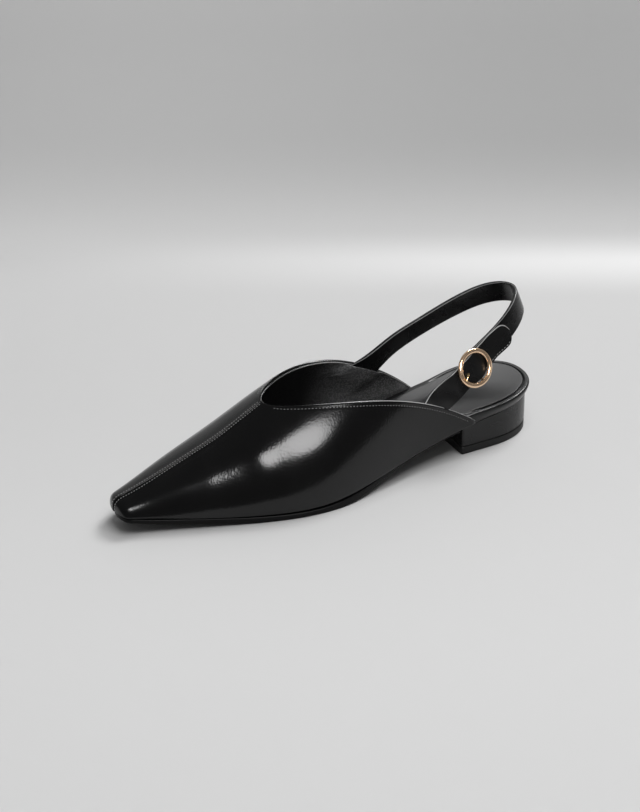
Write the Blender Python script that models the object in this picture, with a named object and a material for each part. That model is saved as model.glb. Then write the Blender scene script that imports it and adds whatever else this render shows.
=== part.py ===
"""Slingback pump, left shoe: pointed vamp, open heel, low block heel, heel strap with a round buckle.

Lengths are millimetres until a mesh is made. u runs back from just ahead of the toe, v runs to the medial
side and z runs up from the floor. The last is a row of sections, each half a cubic arch from the feather
line, where upper and sole meet, up to the crest. Every other piece is worked out from that last.
"""
from collections import namedtuple

import bmesh
import bpy
import numpy as np

# Driving sizes
MM = 0.001
TOE_TIP = 3.4
LENGTH = 262.0
SEAT_LAST = 0.15
ORIGIN_U = 0.5 * (TOE_TIP + LENGTH - SEAT_LAST)
ORIGIN_V = -1.6
GAP = 0.3
UPPER_WALL = 1.5

# The last: half widths of the two sides, feather and crest heights, then the arch of the section:
# slope at the crest in degrees, reach of the crest's handle in half widths, how much fuller the medial
# shoulder is, outward lean at the feather
Section = namedtuple("Section", "u lateral medial feather crest roof reach full lean")
LAST = (
    Section(0, 8.5, 8.4, 12.5, 18.2, 5.0, 0.685, 1.02, 6.4),
    Section(15, 13.0, 15.0, 9.8, 21.8, 3.5, 0.695, 1.04, 6.4),
    Section(40, 20.5, 24.8, 7.0, 30.8, 2.0, 0.705, 1.06, 6.4),
    Section(70, 30.5, 32.4, 4.8, 42.2, 4.0, 0.690, 1.08, 6.4),
    Section(95, 37.6, 35.0, 3.9, 57.0, 6.8, 0.670, 1.05, 5.6),
    Section(115, 39.6, 36.2, 4.2, 67.0, 8.5, 0.657, 1.03, 4.3),
    Section(130, 38.0, 34.6, 5.9, 73.0, 9.2, 0.656, 1.02, 3.4),
    Section(145, 35.6, 32.0, 9.0, 78.8, 9.7, 0.655, 1.01, 2.5),
    Section(175, 29.0, 26.6, 13.6, 88.0, 10.0, 0.655, 1.0, 0.9),
    Section(200, 26.0, 25.6, 17.5, 96.0, 10.0, 0.655, 1.0, -0.4),
    Section(225, 25.6, 25.6, 21.2, 102.0, 10.0, 0.655, 1.0, -1.7),
    Section(262, 25.4, 25.4, 24.8, 110.0, 10.0, 0.655, 1.0, -2.0),
)
FAIRING = 9.0
END_RUN = 60.0
WALL_HANDLE = 0.58
TOE_ROUND = 6.0
TOE_POWER = 3.2
TOE_DROP = 0.55
HEEL_ROUND = 34.0
HEEL_POWER = 2.2

# Topline: it leaves the crest at the throat and falls to the feather line at each quarter's tail
THROAT = 92.0
Quarter = namedtuple("Quarter", "side tail bend")
LATERAL = Quarter(-1, 216.0, 2.0)
MEDIAL = Quarter(1, 205.0, 3.0)
TOPLINE_START = 0.70
TAIL_CUT = 0.992
SEAM_HALF = 1.4
SEAM_RISE = 0.5
SEAM_FADE = 10.0
SEAM_LEAST = 0.02
SEAM_MOST = 0.12
NOSE_COLUMNS = 5
VAMP_COLUMNS = 18
VAMP_SPACING = 0.9
QUARTER_COLUMNS = 18
UPPER_ROWS = 12

# Sole: edge inset from the last's width, and thickness, from toe to heel breast
Sole = namedtuple("Sole", "u inset thick")
OUTSOLE = (
    Sole(0, 1.6, 2.6),
    Sole(40, 0.9, 3.2),
    Sole(80, -0.3, 3.9),
    Sole(118, -0.4, 4.3),
    Sole(137, 0.2, 4.7),
    Sole(150, 2.4, 3.4),
    Sole(165, 4.0, 2.6),
    Sole(205, 3.0, 2.3),
)
OUTSOLE_START = 1.8
OUTSOLE_END = 205.6
SOLE_NOSE_TURN = 0.25
SOLE_NOSE_COLUMNS = 6
SOLE_COLUMNS = 34
SOLE_BEVEL = 0.12

# Insole: thickness from toe to heel, and the wrapped rim of the open heel seat
Sock = namedtuple("Sock", "u thick dish")
INSOLE = (
    Sock(0, 2.6, 0.0),
    Sock(100, 3.2, 0.3),
    Sock(165, 3.6, 0.6),
    Sock(205, 6.0, 0.9),
    Sock(262, 6.3, 0.9),
)
INSOLE_START = 4.5
INSOLE_BLEND = 45.0
INSOLE_NOSE_TURN = 0.3
INSOLE_NOSE_COLUMNS = 5
INSOLE_COLUMNS = 28
SEAT_COLUMNS = 13
RIM_FROM = 207.5
RIM_TO = 229.0
RIM_FLARE = 1.9
RIM_BULGE = 0.35
RIM_ROUND = 1.3
BEAD_CUT = 0.3
GROOVE_IN = 3.4
GROOVE_WIDE = 0.9
GROOVE_DEEP = 0.5
GROOVE_BANK = 0.2
GROOVE_ROOM = 2.2
DISH_AT = 0.45
DISH_SHARE = 0.7

# Heel block and the piece that it stands on
BREAST_TOP = 206.2
BREAST_FOOT = 207.1
HEEL_BACK = 260.6
HEEL_FOOT_HALF = 23.3
HEEL_SEAT_INSET = 1.9
HEEL_ROWS = 4
HEEL_SIDE_COLUMNS = 5
HEEL_BACK_COLUMNS = 11
TOP_PIECE = 5.0
FOOT_EASE = 0.5
FOOT_SHRINK = 0.985

# Straps: stations of the back strap beyond the medial quarter, lean is the top edge's tilt to the foot
Station = namedtuple("Station", "u v z lean wide")
STRAP_THICK = 2.0
FOOT_SEAT = 1.3
STRAP_FOOT = (Station(160.0, None, 37.4, 4.0, 15.8), Station(170.5, None, 44.7, 7.0, 15.4))
STRAP_LOOP = (
    Station(187.0, 24.2, 53.4, 13.0, 14.8),
    Station(204.0, 25.8, 59.2, 16.0, 14.4),
    Station(230.0, 25.6, 67.7, 15.5, 14.3),
    Station(251.5, 15.6, 76.6, 17.5, 13.6),
    Station(255.9, 1.5, 79.4, 21.0, 13.0),
    Station(248.0, -10.2, 76.2, 22.5, 12.7),
    Station(231.0, -17.6, 66.8, 21.5, 12.6),
)
STRAP_WIDE = 13.2
STRAP_PAST_BAR = 4.5
STRAP_TIP = 5.0
STRAP_COLUMNS = 56
TAB_WIDE = 14.0
TAB_THICK = 1.6
TAB_SEAT = 1.6
TAB_FOOT = (Station(178.4, None, 30.8, 1.0, 15.0), Station(189.0, None, 38.8, 4.0, 14.4))
Wave = namedtuple("Wave", "along lift wide")
TAB_WAVE = (Wave(-10.0, 0.0, 14.0), Wave(-6.6, 0.1, 14.2), Wave(-3.3, 0.62, 14.8), Wave(0.0, 1.0, 15.2),
            Wave(3.3, 0.62, 14.8), Wave(6.6, 0.1, 14.2), Wave(10.0, 0.0, 14.0))
TAB_SQUARED = 1.6
TAB_LAID = (18.0, 24.8, 30.9)
TAB_SLIDE = (0.2, 0.7, 1.2)
TAB_TIP = 6.5
TAB_COLUMNS = 60
EDGE_EASE = 0.3
TIP_POWER = 2.6
TIP_LEAST = 0.02

# Buckle: ring in a plane that leans in at the top, its bar dropped below that plane
BUCKLE_AT = (211.6, -26.0, 56.7)
BUCKLE_FACE = (0.05, -0.94, 0.34)
BUCKLE_SLOPE = 30.0
RING_RADIUS = 9.75
RING_WIDE = 1.4
RING_DEEP = 1.2
BAR_DROP = 2.6
BAR_RADIUS = 0.8
Crank = namedtuple("Crank", "inward drop")
BAR_CRANK = (Crank(0.0, 0.12), Crank(0.8, 0.60), Crank(2.15, 0.92), Crank(2.95, 1.0))
RING_COLUMNS = 40
RING_ROWS = 10
ROD_SIDES = 8
HOLE_SIDES = 10
PRONG_RADIUS = 0.6
PRONG_TIP = 10.2
PRONG_POINT = 0.6
PRONG_SLOPE = 34.0
PRONG_COLUMNS = 5
HOOK_END = 0.0
HOOK_COLUMNS = 9
STRAP_LEAN = 20.0


# Curves of the last

def fair(rows, column, u):
    """A table's column as a smooth curve of u: its straight-line graph, blurred along u."""
    at = np.array([row.u for row in rows], float)
    value = np.array([getattr(row, column) for row in rows], float)
    ends = (value[0] - (value[1] - value[0]) * END_RUN / (at[1] - at[0]),
            value[-1] + (value[-1] - value[-2]) * END_RUN / (at[-1] - at[-2]))
    at = np.concatenate(([at[0] - END_RUN], at, [at[-1] + END_RUN]))
    value = np.concatenate(([ends[0]], value, [ends[1]]))
    spread = np.linspace(-3, 3, 31)
    weight = np.exp(-spread ** 2 / 2)
    weight /= weight.sum()
    around = np.asarray(u, float)[..., None] + FAIRING * spread
    return (np.interp(around, at, value) * weight).sum(-1)


def toe_round(u):
    """Share of the full width near the toe tip, 0 at the tip."""
    back = np.clip(1 - (np.asarray(u, float) - TOE_TIP) / TOE_ROUND, 0, 1)
    return np.sqrt(1 - back ** TOE_POWER)


def heel_round(u, end=LENGTH):
    """Share of the full width near the back of the heel, 0 at its end."""
    over = np.clip((np.asarray(u, float) - (end - HEEL_ROUND)) / HEEL_ROUND, 0, 1)
    return (1 - over ** HEEL_POWER) ** (1 / HEEL_POWER)


def half_width(side, u):
    """Half width of the last at the feather line, on one side."""
    column = "lateral" if side < 0 else "medial"
    return fair(LAST, column, u) * toe_round(u)


def feather(u):
    """Height of the feather line."""
    return fair(LAST, "feather", u)


def skin(side, u, t):
    """Outer surface of the upper: t runs from the feather line at 0 to the crest at 1."""
    u, t = np.broadcast_arrays(np.asarray(u, float), np.asarray(t, float))
    wide = half_width(side, u)
    low = feather(u)
    tall = (fair(LAST, "crest", u) - low) * (1 - TOE_DROP * (1 - toe_round(u)))
    lean = np.radians(fair(LAST, "lean", u))
    roof = np.radians(fair(LAST, "roof", u))
    rise = WALL_HANDLE * tall
    reach = fair(LAST, "reach", u) * wide
    if side > 0:
        reach = reach * fair(LAST, "full", u)
    b0, b1, b2, b3 = (1 - t) ** 3, 3 * t * (1 - t) ** 2, 3 * t ** 2 * (1 - t), t ** 3
    v = b0 * wide + b1 * (wide + rise * np.sin(lean)) + b2 * reach * np.cos(roof)
    z = low + b1 * rise * np.cos(lean) + b2 * (tall - reach * np.sin(roof)) + b3 * tall
    return np.stack([u, side * v, z], -1)


def topline(quarter, u):
    """Section parameter of the topline, 1 at the throat and 0 at the tail."""
    q = np.sqrt(np.clip((u - THROAT) / (quarter.tail - THROAT), 0, 1))
    return 1 - q * (TOPLINE_START + (1 - TOPLINE_START) * q ** quarter.bend)


def wall_point(side, u, z, depth):
    """A point at height z, depth inside the outer surface of the upper."""
    t = np.linspace(0, 1, 401)
    at = np.interp(z, skin(side, np.full_like(t, u), t)[:, 2], t)
    step = 1e-3
    along = skin(side, u + step, at) - skin(side, u - step, at)
    upward = skin(side, u, at + step) - skin(side, u, at - step)
    normal = np.cross(along, upward) * side
    normal /= np.linalg.norm(normal)
    inward = -normal if normal[1] * side > 0 else normal
    return skin(side, u, at) + depth * inward


# Meshes

def material(name, colour, roughness, metallic=0.0):
    """A plain material for one piece."""
    made = bpy.data.materials.new(name)
    made.use_nodes = True
    shader = made.node_tree.nodes["Principled BSDF"]
    shader.inputs["Base Color"].default_value = (*colour, 1.0)
    shader.inputs["Roughness"].default_value = roughness
    shader.inputs["Metallic"].default_value = metallic
    return made


def add_piece(name, points, faces, finish):
    """One named object from points in millimetres, its faces turned outwards."""
    placed = (np.asarray(points, float) - (ORIGIN_U, ORIGIN_V, 0.0)) * MM
    mesh = bpy.data.meshes.new(name)
    mesh.from_pydata(placed.tolist(), [], faces)
    build = bmesh.new()
    build.from_mesh(mesh)
    bmesh.ops.recalc_face_normals(build, faces=build.faces)
    build.to_mesh(mesh)
    build.free()
    mesh.shade_smooth()
    mesh.set_sharp_from_angle(angle=np.radians(40))
    mesh.materials.append(finish)
    piece = bpy.data.objects.new(name, mesh)
    bpy.context.collection.objects.link(piece)
    return piece


def loft(rings):
    """Points and faces of a solid through closed rings of equal count, with flat ends."""
    rings = np.asarray(rings, float)
    count, size = rings.shape[:2]
    here = np.arange(count * size).reshape(count, size)
    after = np.roll(here, -1, axis=1)
    sides = np.stack([here[:-1], after[:-1], after[1:], here[1:]], -1).reshape(-1, 4).tolist()
    return rings.reshape(-1, 3), sides + [here[0].tolist(), here[-1][::-1].tolist()]


def eased(low, high, value):
    """Smooth step from 0 at low to 1 at high."""
    x = np.clip((np.asarray(value, float) - low) / (high - low), 0, 1)
    return x * x * (3 - 2 * x)


def spline(knots, values, at):
    """Natural cubic curve through values at the knots."""
    knots, values = np.asarray(knots, float), np.asarray(values, float)
    gap = np.diff(knots)
    count = len(knots)
    matrix = np.eye(count)
    right = np.zeros_like(values)
    slope = np.diff(values, axis=0) / gap[:, None]
    for i in range(1, count - 1):
        matrix[i, i - 1:i + 2] = gap[i - 1], 2 * (gap[i - 1] + gap[i]), gap[i]
        right[i] = 6 * (slope[i] - slope[i - 1])
    bend = np.linalg.solve(matrix, right)
    k = np.clip(np.searchsorted(knots, at) - 1, 0, count - 2)
    left, over, wide = (at - knots[k])[:, None], (knots[k + 1] - at)[:, None], gap[k][:, None]
    return (bend[k] * over ** 3 + bend[k + 1] * left ** 3) / (6 * wide) \
        + (values[k] / wide - bend[k] * wide / 6) * over \
        + (values[k + 1] / wide - bend[k + 1] * wide / 6) * left


# Upper

def nose_columns(first_turn, count):
    """Distances behind a rounded toe's tip, close together at the tip."""
    return TOE_ROUND * (1 - np.cos(np.linspace(first_turn, np.pi / 2, count, endpoint=False)))


def upper_half(quarter):
    """Grid of one half's outer points: a row for each column of the upper, feather to topline or crest."""
    nose = TOE_TIP + nose_columns(0.0, NOSE_COLUMNS)
    full = TOE_TIP + TOE_ROUND
    vamp = full + (THROAT - full) * np.linspace(0, 1, VAMP_COLUMNS) ** VAMP_SPACING
    back = np.linspace(0, TAIL_CUT, QUARTER_COLUMNS + 1)[1:] ** 2
    u = np.concatenate([nose, vamp, THROAT + (quarter.tail - THROAT) * back])
    wide = np.maximum(half_width(quarter.side, u), 1.0)
    seam = np.clip(SEAM_HALF / (3 * fair(LAST, "reach", u) * wide), SEAM_LEAST, SEAM_MOST)
    rows = np.linspace(0, 1, UPPER_ROWS)[None] * (1 - seam)[:, None]
    share = np.concatenate([rows, np.ones((len(u), 1))], 1)
    grid = skin(quarter.side, u[:, None], share * topline(quarter, u)[:, None])
    grid[:, -1, 2] += SEAM_RISE * (1 - eased(THROAT - SEAM_FADE, THROAT, u))
    return grid, len(nose) + len(vamp)


def build_upper(finish):
    """Hollow vamp and quarters: two halves that share the nose and the crest up to the throat."""
    points, faces, grids = [], [], []
    for quarter in (LATERAL, MEDIAL):
        grid, joined = upper_half(quarter)
        index = np.full(grid.shape[:2], -1)
        if grids:
            first = grids[0]
            index[0] = first[0]
            index[:joined, -1] = first[:joined, -1]
        fresh = index < 0
        index[fresh] = len(points) + np.arange(fresh.sum())
        points.extend(grid[fresh])
        corners = [index[:-1, :-1], index[1:, :-1], index[1:, 1:], index[:-1, 1:]]
        quads = np.stack(corners if quarter.side < 0 else corners[::-1], -1).reshape(-1, 4)
        faces.extend(quads.tolist())
        grids.append(index)
    upper = add_piece("upper", points, faces, finish)
    wall = upper.modifiers.new("wall", "SOLIDIFY")
    wall.thickness = UPPER_WALL * MM
    wall.offset = -1.0
    wall.use_even_offset = True
    return upper


# Sole, insole and heel

def build_outsole(finish):
    """Thin sole under the feather line, flat under the ball, from toe to heel breast."""
    tip = TOE_TIP + OUTSOLE_START
    u = np.concatenate([tip + nose_columns(SOLE_NOSE_TURN, SOLE_NOSE_COLUMNS),
                        np.linspace(tip + TOE_ROUND, OUTSOLE_END, SOLE_COLUMNS)])
    top = feather(u) - GAP
    foot = np.maximum(top - fair(OUTSOLE, "thick", u), 0.0)
    inset = fair(OUTSOLE, "inset", u)
    rings = []
    for k, at in enumerate(u):
        left = half_width(-1, at - OUTSOLE_START) - inset[k]
        right = half_width(1, at - OUTSOLE_START) - inset[k]
        skirt = SOLE_BEVEL * (top[k] - foot[k])
        rings.append([(at, -left, top[k]), (at, -left, foot[k] + skirt), (at, -left + skirt, foot[k]),
                      (at, right - skirt, foot[k]), (at, right, foot[k] + skirt), (at, right, top[k])])
    return add_piece("outsole", *loft(rings), finish)


def insole_edge(side, u):
    """Half width of the insole: inside the wall, and out to the last's width round the open heel seat."""
    hidden = UPPER_WALL + GAP
    set_back = (INSOLE_START - 1.0) * (1 - eased(TOE_TIP + INSOLE_START, INSOLE_BLEND, u))
    return half_width(side, u - set_back) * heel_round(u) - hidden * (1 - eased(RIM_FROM, RIM_TO, u))


def build_insole(finish):
    """Insole with its wrapped rim, a groove inside the rim at the heel seat and a dished middle."""
    tip = TOE_TIP + INSOLE_START
    front = tip + nose_columns(INSOLE_NOSE_TURN, INSOLE_NOSE_COLUMNS)
    middle = np.linspace(tip + TOE_ROUND, LENGTH - HEEL_ROUND, INSOLE_COLUMNS)
    back = LENGTH - HEEL_ROUND + HEEL_ROUND * np.sin(np.linspace(0, np.pi / 2, SEAT_COLUMNS))[1:-1]
    back = np.append(back, LENGTH - SEAT_LAST)
    u = np.concatenate([front, middle, back])
    thick, dish = fair(INSOLE, "thick", u), fair(INSOLE, "dish", u)
    low = feather(u)
    open_rim = eased(RIM_FROM, RIM_TO, u)
    rings = []
    for k, at in enumerate(u):
        ring = []
        for side in (-1, 1):
            edge = insole_edge(side, at)
            scale = min(1.0, edge / (GROOVE_ROOM * GROOVE_IN))
            flare, bead = RIM_FLARE * open_rim[k] * scale, RIM_ROUND * scale
            top = low[k] + thick[k]
            groove = GROOVE_DEEP * open_rim[k]
            profile = [(edge - flare, low[k]), (edge - RIM_BULGE * flare, low[k] + 0.5 * thick[k]),
                       (edge, top - bead), (edge - BEAD_CUT * bead, top - BEAD_CUT * bead),
                       (edge - bead, top),
                       (edge - (GROOVE_IN - GROOVE_WIDE) * scale, top),
                       (edge - GROOVE_IN * scale, top - groove),
                       (edge - (GROOVE_IN + GROOVE_WIDE) * scale, top - GROOVE_BANK * groove),
                       (DISH_AT * edge, top - DISH_SHARE * dish[k] * scale)]
            arc = [(at, side * v, z) for v, z in profile]
            ring.extend(arc if side < 0 else arc[::-1])
        rings.append(ring)
    return add_piece("insole", *loft(rings), finish)


def heel_outline(share):
    """Plan of the heel from the lateral breast round to the medial: share 0 at the foot, 1 at the seat."""
    breast = BREAST_FOOT + (BREAST_TOP - BREAST_FOOT) * share
    end = HEEL_BACK + (LENGTH - HEEL_SEAT_INSET - HEEL_BACK) * share
    straight = np.linspace(breast, end - HEEL_ROUND, HEEL_SIDE_COLUMNS)
    curved = end - HEEL_ROUND + HEEL_ROUND * np.sin(np.linspace(0, np.pi / 2, HEEL_BACK_COLUMNS))[1:]
    u = np.concatenate([straight, curved])
    outline = []
    for side in (-1, 1):
        seat = half_width(side, u) - HEEL_SEAT_INSET
        wide = (HEEL_FOOT_HALF + (seat - HEEL_FOOT_HALF) * share) * heel_round(u, end)
        run = np.stack([u, side * wide], -1)
        outline.append(run if side < 0 else run[-2::-1])
    return np.concatenate(outline)


def build_heel(finish):
    """Low block under the heel seat, its breast sloping back to the floor."""
    foot = TOP_PIECE + GAP
    rings = []
    for share in np.linspace(0, 1, HEEL_ROWS):
        plan = heel_outline(share)
        height = foot + (feather(plan[:, 0]) - GAP - foot) * share
        rings.append(np.column_stack([plan, height]))
    return add_piece("heel", *loft(rings), finish)


def build_top_piece(finish):
    """Piece under the heel that stands on the floor, its lower edge eased."""
    plan = heel_outline(0.0)
    middle = np.array([plan[:, 0].mean(), 0.0])
    rings = []
    for height, shrink in ((0.0, FOOT_SHRINK), (FOOT_EASE, 1.0), (TOP_PIECE, 1.0)):
        ring = middle + (plan - middle) * shrink
        rings.append(np.column_stack([ring, np.full(len(plan), height)]))
    return add_piece("heel_top_piece", *loft(rings), finish)


# Straps and buckle

def frame_along(centres, leans):
    """Tangent, width and outward directions of a band along its centre line."""
    tangent = np.gradient(centres, axis=0)
    tangent /= np.linalg.norm(tangent, axis=1)[:, None]
    upward = np.array([0.0, 0.0, 1.0]) - tangent * tangent[:, 2:3]
    upward /= np.linalg.norm(upward, axis=1)[:, None]
    inward = np.cross(tangent, upward)
    lean = np.radians(leans)[:, None]
    across = np.cos(lean) * upward + np.sin(lean) * inward
    return tangent, across, np.cross(across, tangent)


def band_path(stations, count):
    """Even points, leans and widths along the natural curve through the stations."""
    stations = np.asarray(stations, float)
    run = np.concatenate([[0.0], np.cumsum(np.linalg.norm(np.diff(stations[:, :3], axis=0), axis=1))])
    path = spline(run, stations, np.linspace(0, run[-1], count))
    return path[:, :3], path[:, 3], path[:, 4]


def band(centres, across, outward, wide, thick, tip):
    """A flat band with eased edges and a round tip of the given length."""
    ease = EDGE_EASE * thick
    profile = ((0.5, -0.5 * thick + ease), (0.5, 0.5 * thick - ease), (0.5, 0.5 * thick),
               (-0.5, 0.5 * thick), (-0.5, 0.5 * thick - ease), (-0.5, -0.5 * thick + ease),
               (-0.5, -0.5 * thick), (0.5, -0.5 * thick))
    trim = np.array([0, 0, -ease, ease, 0, 0, ease, -ease])
    run = np.concatenate([[0.0], np.cumsum(np.linalg.norm(np.diff(centres, axis=0), axis=1))])
    left = np.clip((run[-1] - run) / tip, 0, 1)
    width = wide * np.sqrt(np.maximum(1 - (1 - left) ** TIP_POWER, TIP_LEAST))
    rings = []
    for k, centre in enumerate(centres):
        ring = [centre + (share * width[k] + cut) * across[k] + depth * outward[k]
                for (share, depth), cut in zip(profile, trim)]
        rings.append(ring)
    return loft(rings)


def buckle_axes():
    """Face normal, strap direction and bar direction of the buckle."""
    face = np.array(BUCKLE_FACE) / np.linalg.norm(BUCKLE_FACE)
    upward = np.array([0.0, 0.0, 1.0]) - face * face[2]
    upward /= np.linalg.norm(upward)
    level = np.cross(upward, face)
    level *= np.sign(level[0])
    slope = np.radians(BUCKLE_SLOPE)
    along = np.cos(slope) * level + np.sin(slope) * upward
    return face, along, np.cross(face, along)


def at_buckle(along, depth, bar=0.0):
    """A point by its place in the buckle's own axes."""
    face, run, side = buckle_axes()
    return np.array(BUCKLE_AT) + along * run + depth * face + bar * side


def strap_depth():
    """Depth of the back strap below the ring's plane, clear of the prong's hook under the bar."""
    return -(BAR_DROP + BAR_RADIUS + GAP + 2 * PRONG_RADIUS + GAP + 0.5 * STRAP_THICK)


def strap_frames():
    """Centre line and directions of the back strap, from the medial quarter round to the buckle."""
    depth = UPPER_WALL + FOOT_SEAT + 0.5 * STRAP_THICK
    foot = [(*wall_point(1, row.u, row.z, depth), row.lean, row.wide) for row in STRAP_FOOT]
    end = [(*at_buckle(along, strap_depth()), STRAP_LEAN, STRAP_WIDE) for along in (0.0, -STRAP_PAST_BAR)]
    centres, leans, wide = band_path([*foot, *STRAP_LOOP, *end], STRAP_COLUMNS)
    _, across, outward = frame_along(centres, leans)
    return centres, across, outward, wide


def build_back_strap(finish):
    """Strap from the medial quarter, round behind the heel, to the bar of the buckle."""
    return add_piece("back_strap", *band(*strap_frames(), STRAP_THICK, STRAP_TIP), finish)


def tab_frames():
    """Centre line of the buckle strap: quarter, under the ring, over its bar, on the back strap."""
    depth = UPPER_WALL + TAB_SEAT + 0.5 * TAB_THICK
    foot = [(*wall_point(-1, row.u, row.z, depth), row.lean, row.wide) for row in TAB_FOOT]
    over_bar = -BAR_DROP + BAR_RADIUS + GAP + 0.5 * TAB_THICK
    under_rim = -RING_DEEP - GAP - 0.5 * TAB_THICK
    ring = []
    for row in TAB_WAVE:
        height = under_rim + (over_bar - under_rim) * row.lift
        ring.append((*at_buckle(row.along, height), STRAP_LEAN, row.wide))
    centres, strap_across, outward, _ = strap_frames()
    apart = 0.5 * (STRAP_THICK + TAB_THICK) + GAP
    away = np.linalg.norm(centres - at_buckle(0.0, strap_depth()), axis=1)
    behind = np.arange(len(away)) > len(away) // 2
    before_bar = behind & (np.arange(len(away)) < np.where(behind, away, np.inf).argmin())
    laid = []
    for reach, slide in zip(TAB_LAID, TAB_SLIDE):
        k = np.where(before_bar, np.abs(away - reach), np.inf).argmin()
        laid.append((*(centres[k] + apart * outward[k] - slide * strap_across[k]), STRAP_LEAN, TAB_WIDE))
    path, leans, wide = band_path([*foot, *ring, *laid], TAB_COLUMNS)
    tangent, across, _ = frame_along(path, -leans)
    _, run, side = buckle_axes()
    ring_end = TAB_WAVE[-1].along
    squared = 1 - eased(ring_end, TAB_SQUARED * ring_end, np.abs((path - BUCKLE_AT) @ run))
    across = across + (side - across) * squared[:, None]
    across -= tangent * (across * tangent).sum(1)[:, None]
    across /= np.linalg.norm(across, axis=1)[:, None]
    return path, across, np.cross(across, tangent), wide


def tube(path, radius, sides, normal):
    """Rings of a round bar along a path."""
    path = np.asarray(path, float)
    tangent = np.gradient(path, axis=0)
    tangent /= np.linalg.norm(tangent, axis=1)[:, None]
    first = np.cross(tangent, normal)
    first /= np.linalg.norm(first, axis=1)[:, None]
    second = np.cross(tangent, first)
    turn = np.linspace(0, 2 * np.pi, sides, endpoint=False)
    around = np.cos(turn)[None, :, None] * first[:, None] + np.sin(turn)[None, :, None] * second[:, None]
    return path[:, None] + np.asarray(radius)[..., None, None] * around


def prong_line():
    """The prong's tip, the point where its hook begins, and that point's angle round the bar."""
    hook = BAR_RADIUS + GAP + PRONG_RADIUS
    slope = np.radians(PRONG_SLOPE)
    rim = np.hypot(RING_WIDE * np.sin(slope), RING_DEEP * np.cos(slope)) + GAP + PRONG_RADIUS
    tip = np.array([-PRONG_TIP, rim / np.cos(slope) + (PRONG_TIP - RING_RADIUS) * np.tan(slope)])
    centre = np.array([0.0, -BAR_DROP])
    toward = centre - tip
    length = np.hypot(*toward)
    heading = np.arctan2(toward[1], toward[0]) - np.arcsin(hook / length)
    touch = tip + np.sqrt(length ** 2 - hook ** 2) * np.array([np.cos(heading), np.sin(heading)])
    return tip, touch, np.arctan2(*(touch - centre)[::-1])


def build_prong(finish):
    """Prong that hooks under the bar and lies on the ring's rim, pointing to the quarter."""
    _, _, side = buckle_axes()
    tip, touch, begin = prong_line()
    hook = BAR_RADIUS + GAP + PRONG_RADIUS
    turn = np.linspace(begin, np.radians(HOOK_END), HOOK_COLUMNS)[1:]
    line = [at_buckle(*point) for point in np.linspace(tip, touch, PRONG_COLUMNS)]
    line += [at_buckle(hook * np.cos(angle), hook * np.sin(angle) - BAR_DROP) for angle in turn]
    radius = np.full(len(line), PRONG_RADIUS)
    radius[0] = PRONG_POINT * PRONG_RADIUS
    return add_piece("buckle_prong", *loft(tube(line, radius, ROD_SIDES, side)), finish)


def build_buckle_strap(finish):
    """Tab from the lateral quarter through the buckle, with the hole that the prong passes."""
    tab = add_piece("buckle_strap", *band(*tab_frames(), TAB_THICK, TAB_TIP), finish)
    tip, touch, _ = prong_line()
    _, _, side = buckle_axes()
    line = [at_buckle(*point) for point in np.linspace(tip, touch, PRONG_COLUMNS)]
    radius = np.full(len(line), PRONG_RADIUS + GAP)
    hole = add_piece("prong_hole", *loft(tube(line, radius, HOLE_SIDES, side)), finish)
    hide_cutter(hole)
    cut = tab.modifiers.new("prong_hole", "BOOLEAN")
    cut.operation = "DIFFERENCE"
    cut.solver = "EXACT"
    cut.object = hole
    return tab


def build_buckle(finish):
    """Round ring with a bar across it, the bar cranked below the ring's plane."""
    face, along, side = buckle_axes()
    turn = np.linspace(0, 2 * np.pi, RING_COLUMNS, endpoint=False)
    section = np.linspace(0, 2 * np.pi, RING_ROWS, endpoint=False)
    outward = np.cos(turn)[:, None] * along + np.sin(turn)[:, None] * side
    radius = RING_RADIUS + RING_WIDE * np.cos(section)
    rings = np.array(BUCKLE_AT) + radius[None, :, None] * outward[:, None]
    rings = rings + (RING_DEEP * np.sin(section))[None, :, None] * face
    here = np.arange(len(turn) * len(section)).reshape(len(turn), len(section))
    around = np.roll(here, -1, axis=1)
    faces = np.stack([here, around, np.roll(around, -1, axis=0), np.roll(here, -1, axis=0)], -1)
    ring = add_piece("buckle", rings.reshape(-1, 3), faces.reshape(-1, 4).tolist(), finish)
    bar = [at_buckle(0.0, -row.drop * BAR_DROP, row.inward - RING_RADIUS) for row in BAR_CRANK]
    bar += [at_buckle(0.0, -row.drop * BAR_DROP, RING_RADIUS - row.inward) for row in BAR_CRANK[::-1]]
    rod = add_piece("buckle_bar", *loft(tube(bar, np.full(len(bar), BAR_RADIUS), ROD_SIDES, along)), finish)
    hide_cutter(rod)
    join = ring.modifiers.new("bar", "BOOLEAN")
    join.operation = "UNION"
    join.solver = "EXACT"
    join.object = rod
    return ring


def hide_cutter(guide):
    """Keeps a helper shape out of the finished object."""
    guide.hide_render = True
    guide.display_type = "WIRE"


def clear_scene():
    """Empties the scene."""
    for old in list(bpy.data.objects):
        bpy.data.objects.remove(old, do_unlink=True)


def main():
    """Builds every piece of the shoe."""
    clear_scene()
    build_upper(material("polished leather", (0.012, 0.012, 0.013), 0.18))
    build_insole(material("sock leather", (0.028, 0.028, 0.029), 0.55))
    build_outsole(material("sole rubber", (0.020, 0.020, 0.021), 0.60))
    build_heel(material("wrapped heel leather", (0.014, 0.014, 0.015), 0.30))
    build_top_piece(material("top piece rubber", (0.018, 0.018, 0.018), 0.65))
    build_back_strap(material("strap leather", (0.012, 0.012, 0.013), 0.22))
    build_buckle_strap(material("buckle strap leather", (0.012, 0.012, 0.013), 0.22))
    build_buckle(material("buckle metal", (0.80, 0.52, 0.36), 0.15, 1.0))
    build_prong(material("prong metal", (0.82, 0.62, 0.32), 0.18, 1.0))


main()
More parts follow.
